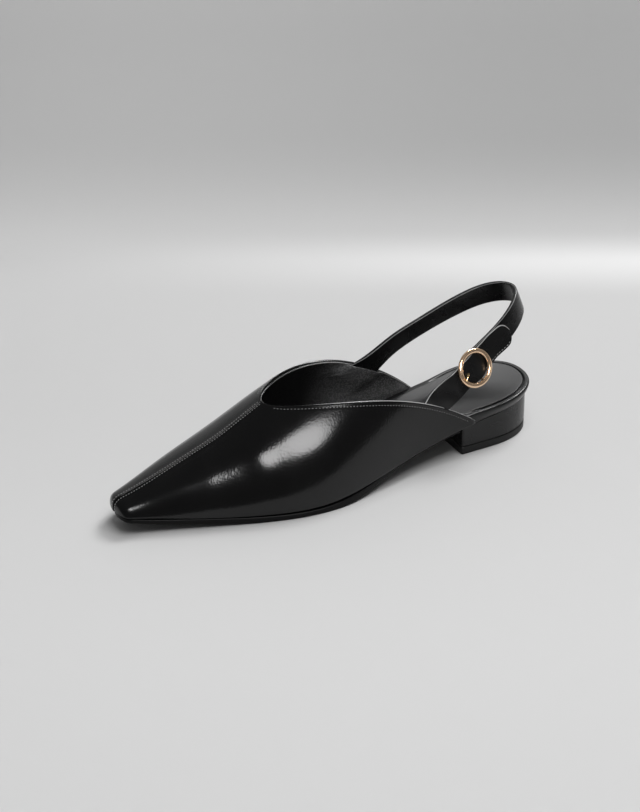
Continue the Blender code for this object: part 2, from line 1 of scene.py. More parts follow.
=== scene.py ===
"""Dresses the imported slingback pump: leather wall, lining, stitches, sole, heel, straps and buckle.

Lengths are millimetres on the shoe's own axes until a mesh is made. u runs back from just ahead of the toe,
v runs to the medial side and z runs up from the floor.
"""
import logging
from collections.abc import Callable, Sequence
from dataclasses import dataclass
from enum import Enum
from functools import partial
from typing import NamedTuple

import bmesh
import bpy
import numpy as np
from mathutils import Matrix, Vector


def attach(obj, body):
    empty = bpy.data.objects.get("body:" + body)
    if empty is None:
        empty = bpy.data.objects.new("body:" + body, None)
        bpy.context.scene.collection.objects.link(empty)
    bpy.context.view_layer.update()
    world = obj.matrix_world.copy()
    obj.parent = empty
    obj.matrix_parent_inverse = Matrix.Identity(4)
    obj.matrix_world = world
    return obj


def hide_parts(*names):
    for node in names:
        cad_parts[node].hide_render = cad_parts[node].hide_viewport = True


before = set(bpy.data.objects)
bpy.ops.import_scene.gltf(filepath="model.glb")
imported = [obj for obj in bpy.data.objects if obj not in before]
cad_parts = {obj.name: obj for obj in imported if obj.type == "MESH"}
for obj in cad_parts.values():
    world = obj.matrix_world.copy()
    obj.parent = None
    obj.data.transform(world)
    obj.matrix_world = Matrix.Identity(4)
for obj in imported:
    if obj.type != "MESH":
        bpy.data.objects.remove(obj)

Array = np.ndarray
Shape = tuple[Array, list[list[int]]]
MM = 0.001
MERGE = 2e-7
ORIGIN = np.array([132.625, -1.6, 0.0])
LOG = logging.getLogger("slingback")


class Side(Enum):
    """The two sides of the shoe, by the sign of v."""

    LATERAL = -1
    MEDIAL = 1


class Column(Enum):
    """Columns of the tables."""

    LATERAL = "lateral"
    MEDIAL = "medial"
    FEATHER = "feather"
    CREST = "crest"
    ROOF = "roof"
    REACH = "reach"
    FULL = "full"
    LEAN = "lean"
    INSET = "inset"
    THICK = "thick"
    DISH = "dish"


class Axis(Enum):
    """Axes of the studio's sheets, as the node that parts them names them."""

    ACROSS = "X"
    BACK = "Y"
    UP = "Z"


class Joining(Enum):
    """Ways to join two values."""

    SUM = "ADD"
    PRODUCT = "MULTIPLY"


class LightShape(Enum):
    """Outlines of a soft light."""

    RECTANGLE = "RECTANGLE"
    ELLIPSE = "ELLIPSE"


# Tables of the last and of what is built on it

class Section(NamedTuple):
    """Half widths, feather and crest heights and arch of the last at one place."""

    u: float
    lateral: float
    medial: float
    feather: float
    crest: float
    roof: float
    reach: float
    full: float
    lean: float


class Edge(NamedTuple):
    """Inset from the last's width and thickness of the sole at one place."""

    u: float
    inset: float
    thick: float


class Sock(NamedTuple):
    """Thickness and dish of the insole at one place."""

    u: float
    thick: float
    dish: float


class Station(NamedTuple):
    """A strap's centre, tilt in degrees and width at one place; no v means on the wall."""

    u: float
    v: float | None
    z: float
    lean: float
    wide: float


class Wave(NamedTuple):
    """The tab's place along the buckle, its lift from under the rim to over the bar, and its width there."""

    along: float
    lift: float
    wide: float


class Stitch(NamedTuple):
    """Length, width and height of a stitch, its row's pitch, and its middle's height above the surface."""

    long: float
    wide: float
    high: float
    pitch: float
    lift: float


class Crease(NamedTuple):
    """A soft trough, or a ridge where depth is below 0, by its middle, turn in degrees and half sizes."""

    side: Side
    u: float
    z: float
    turn: float
    long: float
    wide: float
    depth: float


LAST_TABLE = (
    Section(0, 8.5, 8.4, 12.5, 18.2, 5.0, 0.685, 1.02, 6.4),
    Section(15, 13.0, 15.0, 9.8, 21.8, 3.5, 0.695, 1.04, 6.4),
    Section(40, 20.5, 24.8, 7.0, 30.8, 2.0, 0.705, 1.06, 6.4),
    Section(70, 30.5, 32.4, 4.8, 42.2, 4.0, 0.690, 1.08, 6.4),
    Section(95, 37.6, 35.0, 3.9, 57.0, 6.8, 0.670, 1.05, 5.6),
    Section(115, 39.6, 36.2, 4.2, 67.0, 8.5, 0.657, 1.03, 4.3),
    Section(130, 38.0, 34.6, 5.9, 73.0, 9.2, 0.656, 1.02, 3.4),
    Section(145, 35.6, 32.0, 9.0, 78.8, 9.7, 0.655, 1.01, 2.5),
    Section(175, 29.0, 26.6, 13.6, 88.0, 10.0, 0.655, 1.0, 0.9),
    Section(200, 26.0, 25.6, 17.5, 96.0, 10.0, 0.655, 1.0, -0.4),
    Section(225, 25.6, 25.6, 21.2, 102.0, 10.0, 0.655, 1.0, -1.7),
    Section(262, 25.4, 25.4, 24.8, 110.0, 10.0, 0.655, 1.0, -2.0),
)
SOLE_TABLE = (
    Edge(0, 1.6, 2.6), Edge(40, 0.9, 3.2), Edge(80, -0.3, 3.9), Edge(118, -0.4, 4.3),
    Edge(137, 0.2, 4.7), Edge(150, 2.4, 3.4), Edge(165, 4.0, 2.6), Edge(205, 3.0, 2.3),
)
SOCK_TABLE = (
    Sock(0, 2.6, 0.0), Sock(100, 3.2, 0.3), Sock(165, 3.6, 0.6), Sock(205, 6.0, 0.9), Sock(262, 6.3, 0.9),
)


# Curves

def eased(low: float, high: float, value: Array) -> Array:
    """Smooth step from 0 at low to 1 at high.

    Args:
        low: Where the step begins.
        high: Where it ends.
        value: Places to read it at.

    Returns:
        Shares from 0 to 1, 3x^2 - 2x^3 of the way x between low and high.
    """
    x = np.clip((np.asarray(value, float) - low) / (high - low), 0, 1)
    return x * x * (3 - 2 * x)


def fair(rows: Sequence[NamedTuple], column: Column, u: Array, fairing: float = 9.0) -> Array:
    """A table's column as a smooth curve of u: its straight-line graph, blurred by a bell curve along u.

    Args:
        rows: The table, each row with its u.
        column: Which column.
        u: Places to read it at.
        fairing: Spread of the bell curve.

    Returns:
        The column's values at u.
    """
    run = 60.0
    at = np.array([row.u for row in rows], float)
    value = np.array([getattr(row, column.value) for row in rows], float)
    first = value[0] - (value[1] - value[0]) * run / (at[1] - at[0])
    final = value[-1] + (value[-1] - value[-2]) * run / (at[-1] - at[-2])
    at = np.concatenate(([at[0] - run], at, [at[-1] + run]))
    value = np.concatenate(([first], value, [final]))
    spread = np.linspace(-3, 3, 31)
    weight = np.exp(-spread ** 2 / 2)
    weight /= weight.sum()
    around = np.asarray(u, float)[..., None] + fairing * spread
    return (np.interp(around, at, value) * weight).sum(-1)


def spline(knots: Array, values: Array, at: Array) -> Array:
    """Natural cubic curve through values at the knots.

    Args:
        knots: Growing places along the curve.
        values: One row of values for each knot.
        at: Places to read it at.

    Returns:
        One row of values for each place.
    """
    gap = np.diff(knots)
    count = len(knots)
    matrix = np.eye(count)
    inside = np.arange(1, count - 1)
    matrix[inside, inside - 1] = gap[:-1]
    matrix[inside, inside] = 2 * (gap[:-1] + gap[1:])
    matrix[inside, inside + 1] = gap[1:]
    right = np.zeros_like(values)
    right[1:-1] = 6 * np.diff(np.diff(values, axis=0) / gap[:, None], axis=0)
    bend = np.linalg.solve(matrix, right)
    k = np.clip(np.searchsorted(knots, at) - 1, 0, count - 2)
    left, over, wide = (at - knots[k])[:, None], (knots[k + 1] - at)[:, None], gap[k][:, None]
    return ((bend[k] * over ** 3 + bend[k + 1] * left ** 3) / (6 * wide)
            + (values[k] / wide - bend[k] * wide / 6) * over
            + (values[k + 1] / wide - bend[k + 1] * wide / 6) * left)


def unit(vectors: Array) -> Array:
    """Vectors at length 1."""
    return vectors / np.maximum(np.linalg.norm(vectors, axis=-1, keepdims=True), 1e-12)


def run_length(points: Array) -> Array:
    """Distance along a path at each of its points."""
    return np.concatenate([[0.0], np.cumsum(np.linalg.norm(np.diff(points, axis=0), axis=1))])


@dataclass(frozen=True)
class Last:
    """The form that the shoe is made on, as half sections from the feather line to the crest."""

    tip: float = 3.4
    length: float = 262.0
    toe_run: float = 6.0
    toe_power: float = 3.2
    toe_drop: float = 0.55
    heel_run: float = 34.0
    heel_power: float = 2.2
    handle: float = 0.58
    throat: float = 92.0
    lateral_tail: float = 216.0
    medial_tail: float = 205.0
    lateral_bend: float = 2.0
    medial_bend: float = 3.0
    topline_start: float = 0.70

    def toe_round(self, u: Array) -> Array:
        """Share of the full width near the toe, the root of 1 less a power of the way left to it."""
        back = np.clip(1 - (np.asarray(u, float) - self.tip) / self.toe_run, 0, 1)
        return np.sqrt(1 - back ** self.toe_power)

    def heel_round(self, u: Array, end: float) -> Array:
        """Share of the full width near the back of the heel, a superellipse that closes at end."""
        over = np.clip((np.asarray(u, float) - (end - self.heel_run)) / self.heel_run, 0, 1)
        return (1 - over ** self.heel_power) ** (1 / self.heel_power)

    def half_width(self, side: Side, u: Array) -> Array:
        """Half width at the feather line."""
        column = Column.LATERAL if side is Side.LATERAL else Column.MEDIAL
        return fair(LAST_TABLE, column, u) * self.toe_round(u)

    def feather(self, u: Array) -> Array:
        """Height of the feather line, where upper and sole meet."""
        return fair(LAST_TABLE, Column.FEATHER, u)

    def tail(self, side: Side) -> float:
        """Where a quarter's topline comes down to the feather line."""
        return self.lateral_tail if side is Side.LATERAL else self.medial_tail

    def skin(self, side: Side, u: Array, t: Array) -> Array:
        """Outer surface of the upper, each half section one cubic arch.

        The arch leaves the feather line at the wall's lean with a handle of 0.58 of the height and comes to
        the crest at the roof's slope with a handle of reach times the half width.

        Args:
            side: Which half.
            u: Places along the shoe.
            t: Shares of the arch, 0 at the feather line and 1 at the crest.

        Returns:
            Points, one for each u and t after broadcasting.
        """
        u, t = np.asarray(u, float), np.asarray(t, float)
        wide = self.half_width(side, u)
        low = self.feather(u)
        tall = (fair(LAST_TABLE, Column.CREST, u) - low) * (1 - self.toe_drop * (1 - self.toe_round(u)))
        lean = np.radians(fair(LAST_TABLE, Column.LEAN, u))
        roof = np.radians(fair(LAST_TABLE, Column.ROOF, u))
        rise = self.handle * tall
        reach = fair(LAST_TABLE, Column.REACH, u) * wide
        if side is Side.MEDIAL:
            reach = reach * fair(LAST_TABLE, Column.FULL, u)
        b0, b1, b2, b3 = (1 - t) ** 3, 3 * t * (1 - t) ** 2, 3 * t ** 2 * (1 - t), t ** 3
        v = b0 * wide + b1 * (wide + rise * np.sin(lean)) + b2 * reach * np.cos(roof)
        z = low + b1 * rise * np.cos(lean) + b2 * (tall - reach * np.sin(roof)) + b3 * tall
        return np.stack(np.broadcast_arrays(u, side.value * v, z), -1)

    def topline(self, side: Side, u: Array) -> Array:
        """Share of the arch where the top edge runs.

        Args:
            side: Which half.
            u: Places along the shoe.

        Returns:
            Shares, 1 at the throat and 0 at the tail, falling with the root of the way and a power of it.
        """
        bend = self.lateral_bend if side is Side.LATERAL else self.medial_bend
        q = np.sqrt(np.clip((u - self.throat) / (self.tail(side) - self.throat), 0, 1))
        return 1 - q * (self.topline_start + (1 - self.topline_start) * q ** bend)

    def outward(self, side: Side, u: Array, t: Array) -> Array:
        """Outward directions of the skin, across its steps along u and t.

        Args:
            side: Which half.
            u: Places along the shoe.
            t: Shares of the arch.

        Returns:
            Directions of length 1.
        """
        step = 1e-3
        along = self.skin(side, u + step, t) - self.skin(side, u - step, t)
        upward = self.skin(side, u, t + step) - self.skin(side, u, t - step)
        return unit(np.cross(along, upward) * -side.value)

    def arch_slope(self, side: Side, u: Array, t: Array) -> Array:
        """Length of the arch to a unit of its share, from a small step below t."""
        step = 0.01
        return np.linalg.norm(self.skin(side, u, t) - self.skin(side, u, t - step), axis=-1) / step

    def wall_point(self, side: Side, u: float, z: float, depth: float) -> Array:
        """A point inside the outer surface of the upper.

        Args:
            side: Which half.
            u: Place along the shoe.
            z: Height on the outer surface.
            depth: Distance inwards from there.

        Returns:
            The point.
        """
        t = np.linspace(0, 1, 401)
        at = np.interp(z, self.skin(side, np.full_like(t, u), t)[:, 2], t)
        return self.skin(side, u, at) - depth * self.outward(side, u, at)


# Finishes

class Pattern:
    """Node groups that more than one finish uses, each made once."""

    cell_softness: float = 0.5
    coarse: float = 0.31
    coarse_detail: float = 3.0
    pit_range: tuple[float, float] = (0.25, 0.6)
    polish_detail: float = 4.0
    polish_warp: float = 0.6

    @staticmethod
    def group(name: str, inputs: dict[str, float],
              outputs: Sequence[str]) -> tuple[bpy.types.NodeTree, bpy.types.Node, bpy.types.Node]:
        """An empty shader group with a vector input.

        Args:
            name: The group's name.
            inputs: Names and first values of its number inputs.
            outputs: Names of its number outputs.

        Returns:
            The group, its input node and its output node.
        """
        made = bpy.data.node_groups.new(name, "ShaderNodeTree")
        made.interface.new_socket("Vector", in_out="INPUT", socket_type="NodeSocketVector")
        for key, value in inputs.items():
            socket = made.interface.new_socket(key, in_out="INPUT", socket_type="NodeSocketFloat")
            socket.default_value = value
        for key in outputs:
            made.interface.new_socket(key, in_out="OUTPUT", socket_type="NodeSocketFloat")
        return made, made.nodes.new("NodeGroupInput"), made.nodes.new("NodeGroupOutput")

    @classmethod
    def grain(cls) -> bpy.types.NodeTree:
        """Fine leather grain: rounded cells with pores at their corners, over a softer unevenness.

        Returns:
            Group with the inputs Vector, Scale and Pores, and the outputs Height and Pits.
        """
        found = bpy.data.node_groups.get("leather_grain")
        if found:
            return found
        made, start, end = cls.group("leather_grain", {"Scale": 900.0, "Pores": 0.5}, ("Height", "Pits"))
        nodes, link = made.nodes, made.links.new
        cells = nodes.new("ShaderNodeTexVoronoi")
        cells.feature = "SMOOTH_F1"
        cells.inputs["Smoothness"].default_value = cls.cell_softness
        rough = nodes.new("ShaderNodeTexNoise")
        rough.inputs["Detail"].default_value = cls.coarse_detail
        coarser = nodes.new("ShaderNodeMath")
        coarser.operation = "MULTIPLY"
        coarser.inputs[1].default_value = cls.coarse
        mixed = nodes.new("ShaderNodeMath")
        mixed.operation = "MULTIPLY_ADD"
        pits = nodes.new("ShaderNodeMapRange")
        pits.inputs["From Min"].default_value, pits.inputs["From Max"].default_value = cls.pit_range
        link(start.outputs["Vector"], cells.inputs["Vector"])
        link(start.outputs["Scale"], cells.inputs["Scale"])
        link(start.outputs["Vector"], rough.inputs["Vector"])
        link(start.outputs["Scale"], coarser.inputs[0])
        link(coarser.outputs[0], rough.inputs["Scale"])
        link(cells.outputs["Distance"], mixed.inputs[0])
        link(start.outputs["Pores"], mixed.inputs[1])
        link(rough.outputs["Fac"], mixed.inputs[2])
        link(cells.outputs["Distance"], pits.inputs["Value"])
        link(mixed.outputs[0], end.inputs["Height"])
        link(pits.outputs["Result"], end.inputs["Pits"])
        return made

    @classmethod
    def mottle(cls) -> bpy.types.NodeTree:
        """Slow uneven change of tone or polish over a surface: a warped noise with raised contrast.

        Returns:
            Group with the inputs Vector, Scale and Contrast, and the output Mask.
        """
        found = bpy.data.node_groups.get("uneven_polish")
        if found:
            return found
        made, start, end = cls.group("uneven_polish", {"Scale": 40.0, "Contrast": 1.6}, ("Mask",))
        nodes, link = made.nodes, made.links.new
        noise = nodes.new("ShaderNodeTexNoise")
        noise.inputs["Detail"].default_value = cls.polish_detail
        noise.inputs["Distortion"].default_value = cls.polish_warp
        centred = nodes.new("ShaderNodeMath")
        centred.operation = "SUBTRACT"
        centred.inputs[1].default_value = 0.5
        spread = nodes.new("ShaderNodeMath")
        spread.operation = "MULTIPLY_ADD"
        spread.inputs[2].default_value = 0.5
        spread.use_clamp = True
        link(start.outputs["Vector"], noise.inputs["Vector"])
        link(start.outputs["Scale"], noise.inputs["Scale"])
        link(noise.outputs["Fac"], centred.inputs[0])
        link(centred.outputs[0], spread.inputs[0])
        link(start.outputs["Contrast"], spread.inputs[1])
        link(spread.outputs[0], end.inputs["Mask"])
        return made


@dataclass(frozen=True)
class Finish:
    """A surface's colour, gloss and relief, changing over the surface by grain and mottle.

    colour and second are the two tones that the mottle blends, rough the least and most roughness, scale the
    grain's cells to a metre and depth its relief in metres, patch the mottle's patches to a metre. speckle
    darkens the pores. Where a run along X in metres is given, the second tone comes in along it as painted
    light, and the first tone stays towards the toe as painted shade.
    """

    name: str
    slot: str
    colour: tuple[float, float, float]
    second: tuple[float, float, float]
    rough: tuple[float, float]
    scale: float = 900.0
    pores: float = 0.5
    depth: float = 0.00003
    strength: float = 0.3
    patch: float = 40.0
    contrast: float = 1.6
    metallic: float = 0.0
    specular: float = 0.5
    speckle: float = 0.0
    # Run along X in metres where the second tone comes in as painted light; None leaves it out.
    painted_light_run: tuple[float, float] | None = None
    stretch: tuple[float, float, float] = (1.0, 1.0, 1.0)

    def material(self) -> bpy.types.Material:
        """The finish as a material on Object coordinates.

        Returns:
            The material, made once.
        """
        found = bpy.data.materials.get(self.name)
        if found:
            return found
        made = bpy.data.materials.new(self.name)
        made.use_nodes = True
        nodes, link = made.node_tree.nodes, made.node_tree.links.new
        shader = nodes["Principled BSDF"]
        shader.inputs["Metallic"].default_value = self.metallic
        shader.inputs["Specular IOR Level"].default_value = self.specular
        place = nodes.new("ShaderNodeTexCoord")
        mapping = nodes.new("ShaderNodeMapping")
        mapping.inputs["Scale"].default_value = self.stretch
        grain = nodes.new("ShaderNodeGroup")
        grain.node_tree = Pattern.grain()
        grain.inputs["Scale"].default_value = self.scale
        grain.inputs["Pores"].default_value = self.pores
        mottle = nodes.new("ShaderNodeGroup")
        mottle.node_tree = Pattern.mottle()
        mottle.inputs["Scale"].default_value = self.patch
        mottle.inputs["Contrast"].default_value = self.contrast
        tone = nodes.new("ShaderNodeMix")
        tone.data_type = "RGBA"
        tone.inputs["A"].default_value = (*self.colour, 1.0)
        tone.inputs["B"].default_value = (*self.second, 1.0)
        gloss = nodes.new("ShaderNodeMapRange")
        gloss.inputs["To Min"].default_value, gloss.inputs["To Max"].default_value = self.rough
        bump = nodes.new("ShaderNodeBump")
        bump.inputs["Strength"].default_value = self.strength
        bump.inputs["Distance"].default_value = self.depth
        link(place.outputs["Object"], mapping.inputs["Vector"])
        link(mapping.outputs["Vector"], grain.inputs["Vector"])
        link(place.outputs["Object"], mottle.inputs["Vector"])
        pits = nodes.new("ShaderNodeMath")
        pits.operation = "MULTIPLY_ADD"
        pits.use_clamp = True
        pits.inputs[1].default_value = -self.speckle
        link(grain.outputs["Pits"], pits.inputs[0])
        link(mottle.outputs["Mask"], pits.inputs[2])
        share = pits.outputs[0]
        # Painted light and shade: the second tone comes in along X, and the first stays towards the toe.
        if self.painted_light_run:
            share = self.painted_light_share(nodes, link, place.outputs["Object"], share)
        link(share, tone.inputs["Factor"])
        link(tone.outputs["Result"], shader.inputs["Base Color"])
        link(mottle.outputs["Mask"], gloss.inputs["Value"])
        link(gloss.outputs["Result"], shader.inputs["Roughness"])
        link(grain.outputs["Height"], bump.inputs["Height"])
        link(bump.outputs["Normal"], shader.inputs["Normal"])
        return made

    def painted_light_share(self, nodes: bpy.types.Nodes, link: Callable, place: bpy.types.NodeSocket,
                   share: bpy.types.NodeSocket) -> bpy.types.NodeSocket:
        """A share that comes in along X: painted light towards the back, painted shade towards the toe.

        Args:
            nodes: The material's nodes.
            link: What joins two sockets.
            place: Object coordinates.
            share: The share where the painted light is full.

        Returns:
            The share times a smooth step along X.
        """
        parts = nodes.new("ShaderNodeSeparateXYZ")
        step = nodes.new("ShaderNodeMapRange")
        step.interpolation_type = "SMOOTHSTEP"
        step.inputs["From Min"].default_value, step.inputs["From Max"].default_value = self.painted_light_run
        both = nodes.new("ShaderNodeMath")
        both.operation = "MULTIPLY"
        link(place, parts.inputs["Vector"])
        link(parts.outputs["X"], step.inputs["Value"])
        link(step.outputs["Result"], both.inputs[0])
        link(share, both.inputs[1])
        return both.outputs[0]


POLISHED = Finish("polished_black_leather", "upper_leather", (0.0022, 0.0022, 0.0024),
                  (0.0036, 0.0036, 0.0038), (0.14, 0.20), scale=1200.0, pores=2.0, depth=0.000021,
                  strength=0.9, patch=55.0, specular=0.38, stretch=(1.0, 1.0, 0.5))
# The lining's light second tone, brought in along X towards the back, is painted light; its dark first tone
# towards the toe is painted shade.
LINING = Finish("grained_lining_leather", "upper_leather", (0.010, 0.010, 0.0105), (0.56, 0.56, 0.564),
                (0.30, 0.42), scale=1000.0, pores=1.2, depth=0.0002, strength=1.0, patch=26.0, contrast=0.9,
                specular=0.45, speckle=0.24, painted_light_run=(-0.002, 0.03))
STRAP = Finish("satin_strap_leather", "strap_leather", (0.003, 0.003, 0.0032), (0.006, 0.006, 0.0064),
               (0.22, 0.34), scale=1300.0, pores=1.0, depth=0.00004, strength=0.7, patch=60.0, specular=0.38)
SOCK = Finish("matte_sock_leather", "sock_leather", (0.014, 0.014, 0.0147), (0.026, 0.026, 0.027),
              (0.38, 0.50), scale=1600.0, pores=0.8, depth=0.00005, strength=0.5, patch=45.0, specular=0.44)
WRAP = Finish("satin_heel_wrap", "heel_leather", (0.003, 0.003, 0.0032), (0.005, 0.005, 0.0054),
              (0.24, 0.32), scale=1400.0, depth=0.00003, strength=0.35, patch=50.0, specular=0.36)
RIM = Finish("wrapped_seat_rim", "sock_leather", (0.004, 0.004, 0.0042), (0.008, 0.008, 0.0084),
             (0.26, 0.36), scale=1400.0, depth=0.00003, strength=0.4, patch=60.0, specular=0.42)
SOLE = Finish("matte_sole", "sole_rubber", (0.004, 0.004, 0.004), (0.008, 0.008, 0.008),
              (0.36, 0.48), scale=1800.0, pores=0.6, depth=0.00004, strength=0.4, patch=70.0, specular=0.12)
RUBBER = Finish("top_piece_rubber", "heel_rubber", (0.005, 0.005, 0.005), (0.009, 0.009, 0.009),
                (0.42, 0.55), scale=1900.0, pores=0.5, depth=0.00006, strength=0.5, patch=90.0, specular=0.3)
THREAD = Finish("waxed_grey_thread", "upper_leather", (0.20, 0.20, 0.20), (0.34, 0.34, 0.34),
                (0.45, 0.6), scale=5000.0, pores=0.2, depth=0.00008, strength=0.6, patch=400.0)
GREY_THREAD = Finish("dull_grey_thread", "upper_leather", (0.13, 0.13, 0.13), (0.22, 0.22, 0.22),
                     (0.4, 0.55), scale=5000.0, pores=0.2, depth=0.00008, strength=0.6, patch=400.0)
# The lining's cut edge in two tones: the near, lateral half light as a painted highlight, the far, medial
# half darker and duller as painted shade.
NEAR_EDGE_HIGHLIGHT = Finish("painted_highlight_lining_edge", "upper_leather", (0.44, 0.44, 0.44), (0.62, 0.62, 0.62),
                  (0.16, 0.26), scale=3000.0, pores=0.6, depth=0.00003, strength=0.4, patch=150.0,
                  specular=0.9)
FAR_EDGE_SHADE = Finish("painted_shade_lining_edge", "upper_leather", (0.15, 0.15, 0.15), (0.24, 0.24, 0.24),
                   (0.24, 0.36), scale=3000.0, pores=0.6, depth=0.00003, strength=0.4, patch=150.0)
# Light lines along the straps' top edges: painted highlights on the corner that catches light.
TAB_EDGE_HIGHLIGHT = Finish("painted_highlight_tab_edge", "strap_leather", (0.32, 0.32, 0.32), (0.50, 0.50, 0.50),
                   (0.20, 0.32), scale=3000.0, pores=0.6, depth=0.00004, strength=0.4, patch=120.0)
STRAP_EDGE_HIGHLIGHT = Finish("painted_highlight_strap_edge", "strap_leather", (0.18, 0.18, 0.18), (0.28, 0.28, 0.28),
                    (0.20, 0.32), scale=3000.0, pores=0.6, depth=0.00004, strength=0.4, patch=120.0)
ROSE_GOLD = Finish("polished_rose_gold", "buckle_metal", (0.96, 0.65, 0.42), (0.99, 0.73, 0.51),
                   (0.14, 0.22), scale=2500.0, pores=0.1, depth=0.000004, strength=0.15, patch=160.0,
                   metallic=0.92)
YELLOW_GOLD = Finish("polished_yellow_gold", "prong_metal", (0.82, 0.60, 0.30), (0.88, 0.67, 0.37),
                     (0.14, 0.22), scale=2500.0, pores=0.1, depth=0.000004, strength=0.15, patch=160.0,
                     metallic=0.9)


# Meshes

def loft(rings: Array, closed: bool = False) -> Shape:
    """Points and faces of a surface through closed rings of equal count.

    Args:
        rings: Rings by points by 3.
        closed: Whether the last ring joins the first; else both ends are filled.

    Returns:
        The points and the faces.
    """
    count, size = rings.shape[:2]
    here = np.arange(count * size).reshape(count, size)
    after = np.roll(here, -1, axis=1)
    ahead, beyond = np.roll(here, -1, axis=0), np.roll(after, -1, axis=0)
    faces = np.stack([here, after, beyond, ahead], -1)
    if closed:
        return rings.reshape(-1, 3), faces.reshape(-1, 4).tolist()
    ends = [here[0][::-1].tolist(), here[-1].tolist()]
    return rings.reshape(-1, 3), faces[:-1].reshape(-1, 4).tolist() + ends


def make_piece(name: str, parts: Sequence[Shape], finish: Finish,
               node: str | None = None, sharp: float | None = None) -> bpy.types.Object:
    """One object from points in millimetres, doubles merged, faces turned outwards, riding on the shoe.

    Args:
        name: The object's name.
        parts: Points and faces of each shape in it.
        finish: Its finish.
        node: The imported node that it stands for.
        sharp: Angle in degrees past which an edge shows as sharp.

    Returns:
        The object.
    """
    counts = np.cumsum([0] + [len(points) for points, _ in parts])
    points = (np.concatenate([points for points, _ in parts]) - ORIGIN) * MM
    faces = [[corner + int(first) for corner in face]
             for first, (_, shape) in zip(counts, parts) for face in shape]
    mesh = bpy.data.meshes.new(name)
    mesh.from_pydata(points.tolist(), [], faces)
    build = bmesh.new()
    build.from_mesh(mesh)
    bmesh.ops.remove_doubles(build, verts=build.verts, dist=MERGE)
    bmesh.ops.recalc_face_normals(build, faces=build.faces)
    build.to_mesh(mesh)
    build.free()
    mesh.shade_smooth()
    if sharp is not None:
        mesh.set_sharp_from_angle(angle=np.radians(sharp))
    mesh.materials.append(finish.material())
    piece = bpy.data.objects.new(name, mesh)
    bpy.context.scene.collection.objects.link(piece)
    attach(piece, "root")
    if node:
        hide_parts(node)
    return piece


def stitch_parts(places: Array, along: Array, outward: Array, stitch: Stitch) -> Shape:
    """A row of stitches, each a small closed capsule laid along the row.

    The capsule is a superellipsoid of 6 rings of 6 points, carried to every place as one array.

    Args:
        places: Middles of the stitches.
        along: Directions of the row there.
        outward: Outward directions there.
        stitch: Its sizes.

    Returns:
        The points and the faces.
    """
    turn, spin = np.linspace(0, np.pi, 6), np.linspace(0, 2 * np.pi, 6, endpoint=False)
    girth = np.sin(turn) ** 0.6
    shape = np.stack(np.broadcast_arrays(-np.cos(turn)[:, None] * stitch.long / 2,
                                         girth[:, None] * np.cos(spin) * stitch.wide / 2,
                                         girth[:, None] * np.sin(spin) * stitch.high / 2), -1)
    axes = np.stack([along, np.cross(outward, along), outward], 1)
    rings = places[:, None, None] + np.einsum("ijk,nkl->nijl", shape, axes)
    here = np.arange(rings[..., 0].size).reshape(rings.shape[:3])
    after = np.roll(here, -1, axis=2)
    faces = np.stack([here[:, :-1], after[:, :-1], after[:, 1:], here[:, 1:]], -1)
    return rings.reshape(-1, 3), faces.reshape(-1, 4).tolist()


# Upper

